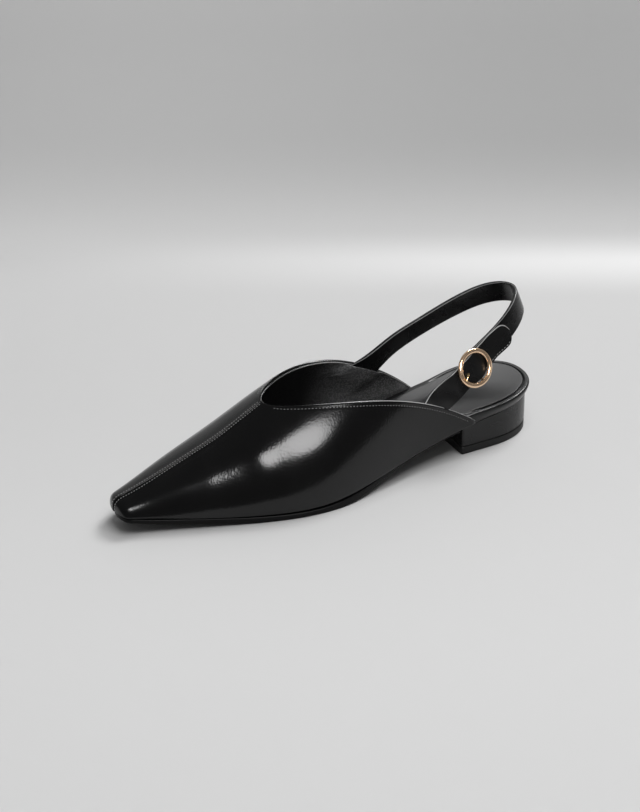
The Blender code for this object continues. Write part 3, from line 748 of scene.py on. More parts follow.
@dataclass
class Upper:
    """Outer leather in two halves that meet at the centre seam, with its lining and its stitches."""

    last: Last
    wall: float = 1.5
    lining: float = 0.6
    rows: int = 56
    nose_columns: int = 22
    vamp_columns: int = 96
    quarter_columns: int = 110
    tail_cut: float = 0.992
    least_half: float = 0.8
    most_clear: float = 0.2
    least_top: float = 0.2
    most_foot: float = 0.3
    drop_run: float = 4.0
    rim_power: float = 0.6
    lip_run: float = 3.0
    seam_rise: float = 0.3
    seam_half: float = 1.7
    seam_start: float = 8.0
    seam_fade: float = 10.0
    seam_lip: float = 0.28
    seam_gap: float = 0.03
    seam_row: float = 1.25
    row_from: float = 3.0
    row_short: float = 1.5
    nose_low: float = 0.2
    shut_least: float = 0.12
    shut_run: tuple[float, float] = (1.0, 10.0)
    open_run: tuple[float, float] = (-2.0, 6.0)
    edge_lip: float = 0.45
    edge_fold: float = 0.06
    fold_half: float = 1.1
    stitch_line: float = 1.9
    stitch_sink: float = 0.08
    sink_half: float = 0.55
    foot_turn: float = 1.2
    strap_room: float = 2.65
    bulge_run: tuple[float, float] = (-12.0, 10.0)
    bulge_side: tuple[float, float] = (-1.0, 6.0)
    cord: float = 0.3
    cord_lateral: tuple[float, float] = (1.08, 0.42)
    cord_medial: tuple[float, float] = (2.05, -0.12)
    cord_shift: float = 14.0
    cord_fade: float = 4.0
    cord_least: float = 0.02
    cord_away: tuple[float, float, float] = (0.0, 0.3, 1.0)
    cord_sides: int = 10
    cord_count: int = 420
    lining_clear: float = 0.06
    lining_run: tuple[float, float] = (-2.0, 4.0)
    lining_drop: float = 0.15
    lining_gap: float = 0.04
    lining_foot: float = 0.26
    lining_full: tuple[float, float] = (4.0, 8.0)
    lining_lip: float = 0.3
    seam_stitch: Stitch = Stitch(0.85, 0.5, 0.44, 1.6, 0.1)
    edge_stitch: Stitch = Stitch(1.0, 0.5, 0.36, 1.9, 0.06)
    edge_span: tuple[float, float] = (0.14, 0.972)
    creases: tuple[Crease, ...] = (
        Crease(Side.LATERAL, 78.0, 36.0, 88.0, 12.0, 6.5, -0.7),
        Crease(Side.LATERAL, 50.5, 22.0, 80.0, 14.0, 5.0, -0.19),
        Crease(Side.LATERAL, 20.0, 14.5, 80.0, 12.0, 17.0, 1.25),
    )
    wrinkles: tuple[Crease, ...] = (
        Crease(Side.MEDIAL, 149.0, 45.5, 12.0, 4.5, 0.9, 0.5),
        Crease(Side.MEDIAL, 151.5, 43.0, 4.0, 4.5, 0.9, 0.4),
        Crease(Side.MEDIAL, 146.0, 46.5, 22.0, 4.5, 0.9, 0.4),
    )

    def columns(self, side: Side) -> Array:
        """Places of the columns, close together at the nose and at the throat.

        Args:
            side: Which half.

        Returns:
            Growing places along the shoe.
        """
        last = self.last
        nose = last.toe_run * (1 - np.cos(np.linspace(0, np.pi / 2, self.nose_columns, endpoint=False)))
        full = last.tip + last.toe_run
        vamp = np.linspace(full, last.throat, self.vamp_columns)
        back = np.linspace(0, self.tail_cut, self.quarter_columns + 1)[1:] ** 2
        return np.concatenate([last.tip + nose, vamp, last.throat + (last.tail(side) - last.throat) * back])

    def top_share(self, side: Side, u: Array, clear: float | Array) -> Array:
        """Share of the arch at the panel's top.

        Args:
            side: Which half.
            u: Places along the shoe.
            clear: Distance of the seam edge from the middle plane.

        Returns:
            The topline's share, or the share that keeps clear of the middle plane along the seam.
        """
        wide = np.maximum(self.last.half_width(side, u), self.least_half)
        seam = np.minimum(clear / (3 * fair(LAST_TABLE, Column.REACH, u) * wide), self.most_clear)
        return np.minimum(self.last.topline(side, u), 1 - seam)

    def grid(self, side: Side, clear: float | Array, drop: float) -> tuple[Array, Array, Array]:
        """The skin of one half as a grid of columns by rows.

        Args:
            side: Which half.
            clear: Distance of the seam edge from the middle plane.
            drop: How far the top edge is below the topline.

        Returns:
            Points, outward directions and distances to the top edge.
        """
        u = self.columns(side)[:, None]
        top = self.top_share(side, u, clear)
        begun = eased(self.last.throat, self.last.throat + self.drop_run, u)
        fall = drop * begun / self.last.arch_slope(side, u, top)
        top = np.maximum(top - fall, self.least_top * top)
        tall = fair(LAST_TABLE, Column.CREST, u) - self.last.feather(u)
        low = np.minimum(self.foot_turn / (3 * self.last.handle * tall), self.most_foot * top)
        points = self.last.skin(side, u, low + (top - low) * np.linspace(0, 1, self.rows))
        normals = unit(np.cross(np.gradient(points, axis=0), np.gradient(points, axis=1)))
        normals *= np.sign((normals * (-0.1, side.value, 0.5)).sum(-1).mean())
        normals[0, :, 1] = 0.0
        normals = unit(normals)
        steps = np.linalg.norm(np.diff(points, axis=1), axis=-1)
        to_top = np.concatenate([np.cumsum(steps[:, ::-1], axis=1)[:, ::-1], np.zeros((len(points), 1))], 1)
        return points, normals, to_top

    def relief(self, side: Side, points: Array) -> Array:
        """Height of the leather above the last: the seam's ridge, a bell across the middle, less the creases.

        Args:
            side: Which half.
            points: Points on the skin.

        Returns:
            Heights.
        """
        u, last = points[..., 0], self.last
        begun = eased(last.tip, last.tip + self.seam_start, u)
        fade = begun * (1 - eased(last.throat - self.seam_fade, last.throat, u))
        ridge = self.seam_rise * np.exp(-(points[..., 1] / self.seam_half) ** 2) * fade
        return ridge - self.bells(self.creases, side, points)

    @staticmethod
    def bells(creases: Sequence[Crease], side: Side, points: Array) -> Array:
        """Depth of creases, each a bell along and across its own turned line in u and z.

        Args:
            creases: The creases of both sides.
            side: Which half.
            points: Points on the skin.

        Returns:
            Depths, the sum of that side's bells.
        """
        u, z = points[..., 0], points[..., 2]
        deep = np.zeros_like(u)
        for crease in (row for row in creases if row.side is side):
            turn = np.radians(crease.turn)
            along = (u - crease.u) * np.cos(turn) + (z - crease.z) * np.sin(turn)
            over = (z - crease.z) * np.cos(turn) - (u - crease.u) * np.sin(turn)
            deep = deep + crease.depth * np.exp(-(along / crease.long) ** 2 - (over / crease.wide) ** 2)
        return deep

    def shell(self, points: Array, normals: Array, outer: Array, inner: Array, lip: Array) -> Array:
        """Closed rings of a wall between two depths, its top edge rounded and its foot turned under.

        The top edge is half a superellipse across the wall, lip high; the foot is a quarter circle.

        Args:
            points: The skin, columns by rows.
            normals: Outward directions there.
            outer: Depth of the outer face below the skin.
            inner: Depth of the inner face.
            lip: Height of the rounded edge at each column.

        Returns:
            Rings, one for each column.
        """
        outside = points - normals * outer[..., None]
        inside = points - normals * inner[..., None]
        edge = unit(np.gradient(outside[:, -1], axis=0))
        upward = unit(np.cross(edge, normals[:, -1]))
        upward *= np.sign((upward * (points[:, -1] - points[:, -2])).sum(-1, keepdims=True))
        turn = np.linspace(0, np.pi, 13)[1:-1]
        across = np.sign(np.cos(turn)) * np.abs(np.cos(turn)) ** self.rim_power
        middle, half = (outside[:, -1] + inside[:, -1]) / 2, (outside[:, -1] - inside[:, -1]) / 2
        rim = (middle[:, None] + half[:, None] * across[:, None]
               + upward[:, None] * (lip[:, None] * np.sin(turn) ** self.rim_power)[..., None])
        level = unit(normals[:, 0] * (1, 1, 0))
        drop = np.clip(points[:, 0, 2] - self.last.feather(points[:, 0, 0]), 0.02, None)
        bend = np.linspace(np.pi / 2, 0, 7)[:-1]
        foot = outside[:, :1] - (level[:, None] * (drop[:, None] * (1 - np.cos(bend)))[..., None])
        foot[..., 2] -= drop[:, None] * np.sin(bend)
        return np.concatenate([foot, outside, rim, inside[:, ::-1]], 1)

    def leather(self) -> bpy.types.Object:
        """Both halves of the outer leather.

        Returns:
            The piece that stands for the upper.
        """
        parts = []
        for side in Side:
            begun = eased(*self.shut_run, self.columns(side) - self.last.tip)
            shut = self.shut_least + (1 - self.shut_least) * begun
            clear = self.seam_gap + (self.seam_gap + self.seam_lip) * shut[:, None]
            points, normals, to_top = self.grid(side, clear, 0.0)
            open_edge = eased(*self.open_run, points[..., 0] - self.last.throat)
            fold = self.edge_fold * np.exp(-(to_top / self.fold_half) ** 2)
            sink = self.stitch_sink * np.exp(-((to_top - self.stitch_line) / self.sink_half) ** 2)
            lift = self.relief(side, points) + open_edge * (fold - sink)
            lip = self.seam_lip * shut + (self.edge_lip - self.seam_lip) * open_edge[:, -1]
            lip = lip * eased(0.0, self.lip_run, to_top[:, 0])
            parts.append(loft(self.shell(points, normals, -lift, np.full_like(lift, self.wall), lip)))
        return make_piece("upper_leather", parts, POLISHED, "upper")

    def foot_bulge(self, side: Side, points: Array) -> Array:
        """How far the lining gives way to a strap's foot behind it, eased along and across the foot.

        Args:
            side: Which half.
            points: Points on the skin.

        Returns:
            Shares from 0 to 1.
        """
        first, second = (TAB_FOOT if side is Side.LATERAL else STRAP_FOOT)
        way = unit(np.array([second.u - first.u, second.z - first.z]))
        along = (points[..., 0] - first.u) * way[0] + (points[..., 2] - first.z) * way[1]
        over = np.abs((points[..., 2] - first.z) * way[0] - (points[..., 0] - first.u) * way[1])
        half = first.wide / 2
        return eased(*self.bulge_run, along) * (1 - eased(*self.bulge_side, over - half))

    def lining_piece(self) -> bpy.types.Object:
        """Lining inside both halves, pushed in where a strap's foot lies behind it.

        Returns:
            The lining.
        """
        parts = []
        for side in Side:
            points, normals, to_top = self.grid(side, self.lining_clear, self.lining_drop)
            full = eased(*self.lining_full, points[..., 2] - self.last.feather(points[..., 0]))
            pushed = self.strap_room * self.foot_bulge(side, points)
            outer = self.wall + self.lining_gap + pushed
            thick = self.lining_foot + (self.lining + self.lining_gap - self.lining_foot) * full
            inner = self.wall + thick + pushed + self.bells(self.wrinkles, side, points)
            begun = eased(*self.lining_run, points[:, -1, 0] - self.last.throat)
            lip = self.lining_lip * begun * eased(0.0, self.lip_run, to_top[:, 0])
            parts.append(loft(self.shell(points, normals, outer, inner, lip)))
        return make_piece("upper_lining", parts, LINING)

    def seam_stitches(self) -> bpy.types.Object:
        """Two rows of stitches, one each side of the centre seam, from toe to throat.

        Returns:
            The stitches.
        """
        parts = []
        for side in Side:
            u = np.linspace(self.last.tip + self.row_from, self.last.throat - self.row_short, 600)
            wide = self.last.half_width(side, u)
            t = 1 - self.seam_row / (3 * fair(LAST_TABLE, Column.REACH, u) * wide)
            nose_u, nose_t = self.nose_line(side, float(t[0]))
            u, t = np.concatenate([nose_u, u]), np.concatenate([nose_t, t])
            parts.append(self.stitch_row(side, u, t, self.seam_stitch))
        return make_piece("centre_seam_stitches", parts, THREAD)

    def nose_line(self, side: Side, top: float) -> tuple[Array, Array]:
        """The seam row's way up the nose, where the skin is seam_row from the middle plane.

        Args:
            side: Which half.
            top: Share of the arch where the row goes on along the crest.

        Returns:
            Places along the shoe and shares of the arch, from just above the feather line.
        """
        t = np.linspace(self.nose_low, top, 40, endpoint=False)
        u = self.last.tip + self.row_from * np.linspace(0, 1, 300) ** 2
        away = np.abs(np.abs(self.last.skin(side, u[:, None], t)[..., 1]) - self.seam_row)
        return u[away.argmin(axis=0)], t

    def edge_stitches(self) -> bpy.types.Object:
        """A row of stitches below the topline of each half.

        Returns:
            The stitches.
        """
        parts = []
        for side in Side:
            q = np.linspace(*self.edge_span, 900)
            u = self.last.throat + (self.last.tail(side) - self.last.throat) * q ** 2
            top = self.last.topline(side, u)
            below = self.stitch_line / self.last.arch_slope(side, u, top)
            parts.append(self.stitch_row(side, u, top - below, self.edge_stitch))
        return make_piece("topline_stitches", parts, GREY_THREAD)

    def cut_edge(self) -> list[bpy.types.Object]:
        """Cut edge of the lining, a thin cord along the topline from one tail round the throat to the other.

        The cord is a round bar whose radius shrinks to nothing at both tails, cut in two at the throat: the
        near, lateral half has a light tone as a painted highlight and the far, medial half a darker tone as
        painted shade.

        Returns:
            The lateral and the medial edge.
        """
        runs = []
        for side in Side:
            points, normals, to_top = self.grid(side, self.lining_clear, 0.0)
            kept = points[:, -1, 0] >= self.last.throat
            line, out = points[kept, -1], normals[kept, -1]
            edge = unit(np.gradient(line, axis=0))
            upward = unit(np.cross(edge, out))
            upward *= np.sign((upward * (line - points[kept, -2])).sum(-1, keepdims=True))
            own = np.array(self.cord_lateral if side is Side.LATERAL else self.cord_medial)
            shared = (np.array(self.cord_lateral) + self.cord_medial) / 2
            share = eased(self.last.throat, self.last.throat + self.cord_shift, line[:, :1])
            deep, lift = np.split(shared + (own - shared) * share, 2, axis=1)
            radius = self.cord * eased(0.0, self.cord_fade, to_top[kept, 0])
            runs.append(np.column_stack([line - out * deep + upward * lift, radius]))
        rows = np.concatenate([runs[0][::-1], runs[1][1:]])
        run = run_length(rows[:, :3])
        throat = round(self.cord_count * run[len(runs[0]) - 1] / run[-1])
        rows = spline(run, rows, np.linspace(0, run[-1], self.cord_count + 1))
        radius = np.maximum(rows[:, 3], self.cord_least)
        rings = tube(rows[:, :3], radius, self.cord_sides, np.array(self.cord_away))
        # Near half in the painted highlight tone, far half in the painted shade tone.
        return [make_piece("lining_cut_edge", [loft(rings[:throat + 1])], NEAR_EDGE_HIGHLIGHT),
                make_piece("lining_far_edge", [loft(rings[throat:])], FAR_EDGE_SHADE)]

    def stitch_row(self, side: Side, u: Array, t: Array, stitch: Stitch) -> Shape:
        """Stitches an even pitch apart along a line on the skin.

        Args:
            side: Which half.
            u: The line's places along the shoe.
            t: Its shares of the arch.
            stitch: Sizes of a stitch and the row's pitch.

        Returns:
            The points and the faces.
        """
        line = self.last.skin(side, u, t)
        run = run_length(line)
        at = np.arange(stitch.pitch / 2, run[-1], stitch.pitch)
        u, t = np.interp(at, run, u), np.interp(at, run, t)
        places, outward = self.last.skin(side, u, t), self.last.outward(side, u, t)
        along = unit(np.gradient(places, axis=0))
        outward = unit(outward - along * (outward * along).sum(-1, keepdims=True))
        height = self.relief(side, places) + stitch.lift
        return stitch_parts(places + outward * height[:, None], along, outward, stitch)

    def build(self) -> list[bpy.types.Object]:
        """Makes the leather, the lining, its cut edge and the stitches."""
        return [self.leather(), self.lining_piece(), *self.cut_edge(),
                self.seam_stitches(), self.edge_stitches()]


# Sole, insole and heel

def plan_loop(left: Callable[[Array], Array], right: Callable[[Array], Array], start: float, end: float,
              count: int, soften: int = 0) -> Array:
    """Closed plan outline, lateral side from front to back and medial side forward again, evenly spaced.

    Args:
        left: Half width of the lateral side as a function of u.
        right: Half width of the medial side.
        start: First u.
        end: Last u.
        count: Points round the loop.
        soften: Points over which a corner is rounded.

    Returns:
        Points in u and v.
    """
    u = start + (end - start) * (1 - np.cos(np.linspace(0, np.pi, 700))) / 2
    line = np.concatenate([np.stack([u, -left(u)], -1), np.stack([u, right(u)], -1)[::-1]])
    line = np.concatenate([line, line[:1]])
    run = run_length(line)
    at = np.linspace(0, run[-1], count, endpoint=False)
    loop = np.stack([np.interp(at, run, line[:, 0]), np.interp(at, run, line[:, 1])], -1)
    if soften:
        shifts = np.arange(-3 * soften, 3 * soften + 1)
        weight = np.exp(-(shifts / soften) ** 2 / 2)
        loop = sum(w * np.roll(loop, s, axis=0) for w, s in zip(weight / weight.sum(), shifts))
    return loop


def plan_outward(loop: Array) -> Array:
    """Outward directions of a plan outline that runs anticlockwise seen from above."""
    tangent = unit(np.roll(loop, -1, axis=0) - np.roll(loop, 1, axis=0))
    return np.stack([tangent[:, 1], -tangent[:, 0]], -1)


@dataclass
class Insole:
    """Insole board with the wrapped rim of the open heel seat, a groove inside that rim and the sock pad."""

    last: Last
    start: float = 4.5
    hidden: float = 1.8
    blend: float = 45.0
    rim_from: float = 207.5
    rim_to: float = 229.0
    toe_gap: float = 1.0
    flare: float = 1.9
    flare_power: float = 1.5
    bead: float = 1.3
    groove_in: float = 3.4
    groove_half: float = 0.5
    groove_deep: float = 1.2
    tuck: float = 3.0
    flat_to: float = 5.4
    nose_run: float = 60.0
    nose_room: float = 9.0
    axis_front: float = 22.0
    axis_back: float = 26.0
    pad_up: float = 0.3
    pad_down: float = 0.5
    count: int = 460

    def edge(self, side: Side, u: Array) -> Array:
        """Half width of the board.

        Args:
            side: Which half.
            u: Places along the shoe.

        Returns:
            Half widths, inside the wall and out to the last's width round the open heel seat.
        """
        back = (self.start - self.toe_gap) * (1 - eased(self.last.tip + self.start, self.blend, u))
        full = self.last.half_width(side, u - back) * self.last.heel_round(u, self.last.length)
        return np.maximum(full - self.hidden * (1 - eased(self.rim_from, self.rim_to, u)), 0.0)

    def build(self) -> list[bpy.types.Object]:
        """Rings from the underside round the rim, across the groove and in to the middle line.

        Each ring is the plan outline moved in by an inset; past the groove it closes on the middle line while
        the top sinks by the dish as the square of the way there.

        Returns:
            The insole.
        """
        loop = plan_loop(partial(self.edge, Side.LATERAL), partial(self.edge, Side.MEDIAL),
                         self.last.tip + self.start, self.last.length, self.count)
        normal = plan_outward(loop)
        room = np.where(loop[:, 0] < self.nose_run, np.clip(np.abs(loop[:, 1]) / self.nose_room, 0, 1), 1.0)
        opened = eased(self.rim_from, self.rim_to, loop[:, 0])
        axis = np.stack([np.clip(loop[:, 0], self.axis_front, self.last.length - self.axis_back),
                         np.zeros(self.count)], -1)
        rise, bend = np.linspace(0, 1, 7)[:, None], np.linspace(0, np.pi / 2, 9)[1:, None]
        flat = np.linspace(self.bead, self.flat_to, 22)[1:, None]
        flared = self.flare * opened
        inset = np.concatenate([flared + self.tuck + 0 * rise[:1], flared * (1 - rise) ** self.flare_power,
                                self.bead * (1 - np.cos(bend)) + 0 * opened, flat + 0 * opened])
        plan = loop - normal * (inset * room)[..., None]
        thick = fair(SOCK_TABLE, Column.THICK, plan[..., 0])
        low = self.last.feather(plan[..., 0])
        groove = self.groove_deep * opened * np.exp(-((flat - self.groove_in) / self.groove_half) ** 2)
        sink = np.concatenate([thick[:1], (thick[1:8] - self.bead) * (1 - rise) + self.bead,
                               self.bead * (1 - np.sin(bend)) + 0 * opened, groove])
        rim = np.concatenate([plan, (low + thick - sink)[..., None]], -1)
        share = np.linspace(0, 1, 18)[1:, None, None]
        inner = plan[-1] * (1 - share) + axis * share
        dish = fair(SOCK_TABLE, Column.DISH, inner[..., 0]) * (1 - (1 - share[..., 0]) ** 2)
        top = self.last.feather(inner[..., 0]) + fair(SOCK_TABLE, Column.THICK, inner[..., 0]) - dish
        under = np.concatenate([axis, (self.last.feather(axis[:, 0]))[:, None]], -1)
        rings = np.concatenate([under[None], rim, np.concatenate([inner, top[..., None]], -1)])
        pad = self.pad(loop - normal * ((self.groove_in + self.groove_half) * room)[:, None], axis)
        return [make_piece("insole_board", [loft_open(rings)], RIM, "insole"),
                make_piece("sock_pad", [loft_open(pad)], SOCK)]

    def pad(self, outline: Array, axis: Array) -> Array:
        """Rings of the sock, a thin pad inside the groove, its edge a quarter circle, dished as the board is.

        Args:
            outline: Its plan outline.
            axis: The points on the middle line that the outline closes on.

        Returns:
            Rings from the underside's middle line round the edge to the top's.
        """
        bend = np.linspace(0, np.pi / 2, 6)[:, None]
        inward = unit(axis - outline)
        share = np.concatenate([[0.0], np.linspace(0, 1, 20)[1:]])[:, None, None]
        edge = outline + inward * (self.pad_up * (1 - np.cos(bend)))[..., None]
        top = edge[-1] * (1 - share[1:]) + axis * share[1:]
        plan = np.concatenate([axis[None], outline[None], edge, top])
        lift = np.concatenate([[[-self.pad_down], [-self.pad_down]], self.pad_up * np.sin(bend),
                               np.full((len(top), 1), self.pad_up)])
        way = np.concatenate([np.ones((1, 1)), np.zeros((7, 1)), share[1:, :, 0]])
        dish = fair(SOCK_TABLE, Column.DISH, plan[..., 0]) * (1 - (1 - way) ** 2)
        height = self.last.feather(plan[..., 0]) + fair(SOCK_TABLE, Column.THICK, plan[..., 0]) - dish + lift
        return np.concatenate([plan, height[..., None]], -1)


def loft_open(rings: Array) -> Shape:
    """Points and faces through closed rings whose first and last have closed on a line."""
    points, faces = loft(rings)
    return points, faces[:-2]


@dataclass
class Outsole:
    """Thin sole from toe to heel breast, flat under the ball, its edge eased above and below."""

    last: Last
    start: float = 1.8
    end: float = 205.6
    gap: float = 0.8
    ease: float = 0.6
    skirt: float = 0.55
    tuck: float = 3.0
    floor_in: float = 5.0
    nose_run: float = 60.0
    nose_room: float = 6.0
    axis_front: float = 20.0
    axis_back: float = 14.0
    count: int = 520

    def half(self, side: Side, u: Array) -> Array:
        """Half width on one side, the last's less the inset."""
        inset = fair(SOLE_TABLE, Column.INSET, u) * self.last.toe_round(u - self.start)
        return np.maximum(self.last.half_width(side, u - self.start) - inset, 0.0)

    def build(self) -> list[bpy.types.Object]:
        """Rings from the top's middle line, round the edge and back to the underside's middle line.

        Each ring is the plan outline moved in by an inset; the corners are quarter circles.

        Returns:
            The sole.
        """
        loop = plan_loop(partial(self.half, Side.LATERAL), partial(self.half, Side.MEDIAL),
                         self.last.tip + self.start, self.end, self.count)
        normal = plan_outward(loop)
        room = np.where(loop[:, 0] < self.nose_run, np.clip(np.abs(loop[:, 1]) / self.nose_room, 0, 1), 1.0)
        axis = np.stack([np.clip(loop[:, 0], self.axis_front, self.end - self.axis_back),
                         np.zeros(self.count)], -1)
        bend = np.linspace(np.pi / 2, 0, 6)[:, None]
        side = np.linspace(0, 1, 6)[1:-1, None]
        zero = np.zeros((1, self.count))
        inset = np.concatenate([self.tuck + zero, self.ease * (1 - np.cos(bend)) + zero, 0 * side + zero,
                                self.skirt * (1 - np.cos(bend[::-1])) + zero, self.floor_in + zero])
        plan = loop - normal * (inset * room)[..., None]
        top = self.last.feather(plan[..., 0]) - self.gap
        foot = np.maximum(top - fair(SOLE_TABLE, Column.THICK, plan[..., 0]), 0.0)
        upper, lower = top - self.ease, foot + self.skirt
        z = np.concatenate([top[:1], upper[1:7] + self.ease * np.sin(bend),
                            upper[7:11] + (lower[7:11] - upper[7:11]) * side,
                            lower[11:17] - self.skirt * np.sin(bend[::-1]), foot[17:]])
        edge = np.concatenate([plan, z[..., None]], -1)
        over = self.last.feather(axis[:, 0]) - self.gap
        under = np.maximum(over - fair(SOLE_TABLE, Column.THICK, axis[:, 0]), 0.0)
        share = np.linspace(0, 1, 8)[1:, None, None]
        deep = plan[-1] * (1 - share) + axis * share
        deep_top = self.last.feather(deep[..., 0]) - self.gap
        floor = np.maximum(deep_top - fair(SOLE_TABLE, Column.THICK, deep[..., 0]), 0.0)
        rings = np.concatenate([np.column_stack([axis, over])[None], edge,
                                np.concatenate([deep, floor[..., None]], -1)])
        rings[-1, :, 2] = under
        return [make_piece("outsole_edge", [loft_open(rings)], SOLE, "outsole")]


@dataclass
class Heel:
    """Low wrapped block under the heel seat and the top piece that it stands on."""

    last: Last
    breast_top: float = 206.2
    breast_foot: float = 207.1
    back: float = 260.6
    foot_half: float = 23.3
    seat_inset: float = 1.9
    top_piece: float = 5.0
    gap: float = 0.3
    ease: float = 0.4
    least_rise: float = 0.02
    soften: int = 2
    count: int = 360
    lift_edge: tuple[tuple[float, float], ...] = (
        (0.0, 0.9), (0.0, 0.45), (0.15, 0.15), (0.45, 0.0), (1.6, 0.0), (3.2, 0.0), (4.3, 0.0), (4.7, 0.12),
        (4.9, 0.4), (4.9, 1.2),
    )

    def half(self, side: Side, share: float, end: float, u: Array) -> Array:
        """Half width on one side, between the foot's and the seat's, closing at end."""
        seat = self.last.half_width(side, u) - self.seat_inset
        return (self.foot_half + (seat - self.foot_half) * share) * self.last.heel_round(u, end)

    def plan(self, share: float) -> Array:
        """Plan outline of the block, its corners rounded.

        Args:
            share: Share of the height, 0 at the foot and 1 at the seat.

        Returns:
            Points in u and v.
        """
        breast = self.breast_foot + (self.breast_top - self.breast_foot) * share
        end = self.back + (self.last.length - self.seat_inset - self.back) * share
        left = partial(self.half, Side.LATERAL, share, end)
        right = partial(self.half, Side.MEDIAL, share, end)
        return plan_loop(left, right, breast, end, self.count, self.soften)

    def block(self) -> bpy.types.Object:
        """The block: plan outlines from foot to seat, the lower edge a quarter circle.

        Returns:
            The heel.
        """
        foot = self.top_piece + self.gap
        plans = [(share, self.plan(share)) for share in np.linspace(0, 1, 26)]
        low = plans[0][1]
        outward = plan_outward(low)
        bend = np.linspace(np.pi / 2, 0, 6)
        rings = [np.column_stack([low - outward * self.ease * (1 - np.cos(b)),
                                  np.full(self.count, foot + self.ease * (1 - np.sin(b)))]) for b in bend]
        for share, plan in plans:
            height = foot + (self.last.feather(plan[:, 0]) - self.gap - foot) * share
            rings.append(np.column_stack([plan, np.maximum(height, foot + self.ease + self.least_rise)]))
        return make_piece("heel_block", [loft(np.array(rings))], WRAP, "heel", sharp=50)

    def lift(self) -> bpy.types.Object:
        """The top piece: one plan outline, both edges eased by pairs of a height and an inset.

        Returns:
            The top piece.
        """
        plan = self.plan(0.0)
        outward = plan_outward(plan)
        rings = [np.column_stack([plan - outward * inset, np.full(self.count, height)])
                 for height, inset in self.lift_edge]
        return make_piece("heel_top_lift", [loft(np.array(rings))], RUBBER, "heel_top_piece", sharp=60)

    def build(self) -> list[bpy.types.Object]:
        """Makes the block and its top piece."""
        return [self.block(), self.lift()]


# Straps and buckle

STRAP_FOOT = (Station(160.0, None, 37.4, 4.0, 15.8), Station(170.5, None, 44.7, 7.0, 15.4))
STRAP_LOOP = (
    Station(187.0, 24.2, 53.4, 13.0, 14.8), Station(204.0, 25.8, 59.2, 16.0, 14.4),
    Station(230.0, 25.6, 67.7, 15.5, 14.3), Station(251.5, 15.6, 76.6, 17.5, 13.6),
    Station(255.9, 1.5, 79.4, 21.0, 13.0), Station(248.0, -10.2, 76.2, 22.5, 12.7),
    Station(231.0, -17.6, 66.8, 21.5, 12.6),
)
TAB_FOOT = (Station(178.4, None, 30.8, 1.0, 16.6), Station(189.0, None, 38.8, 4.0, 15.6))


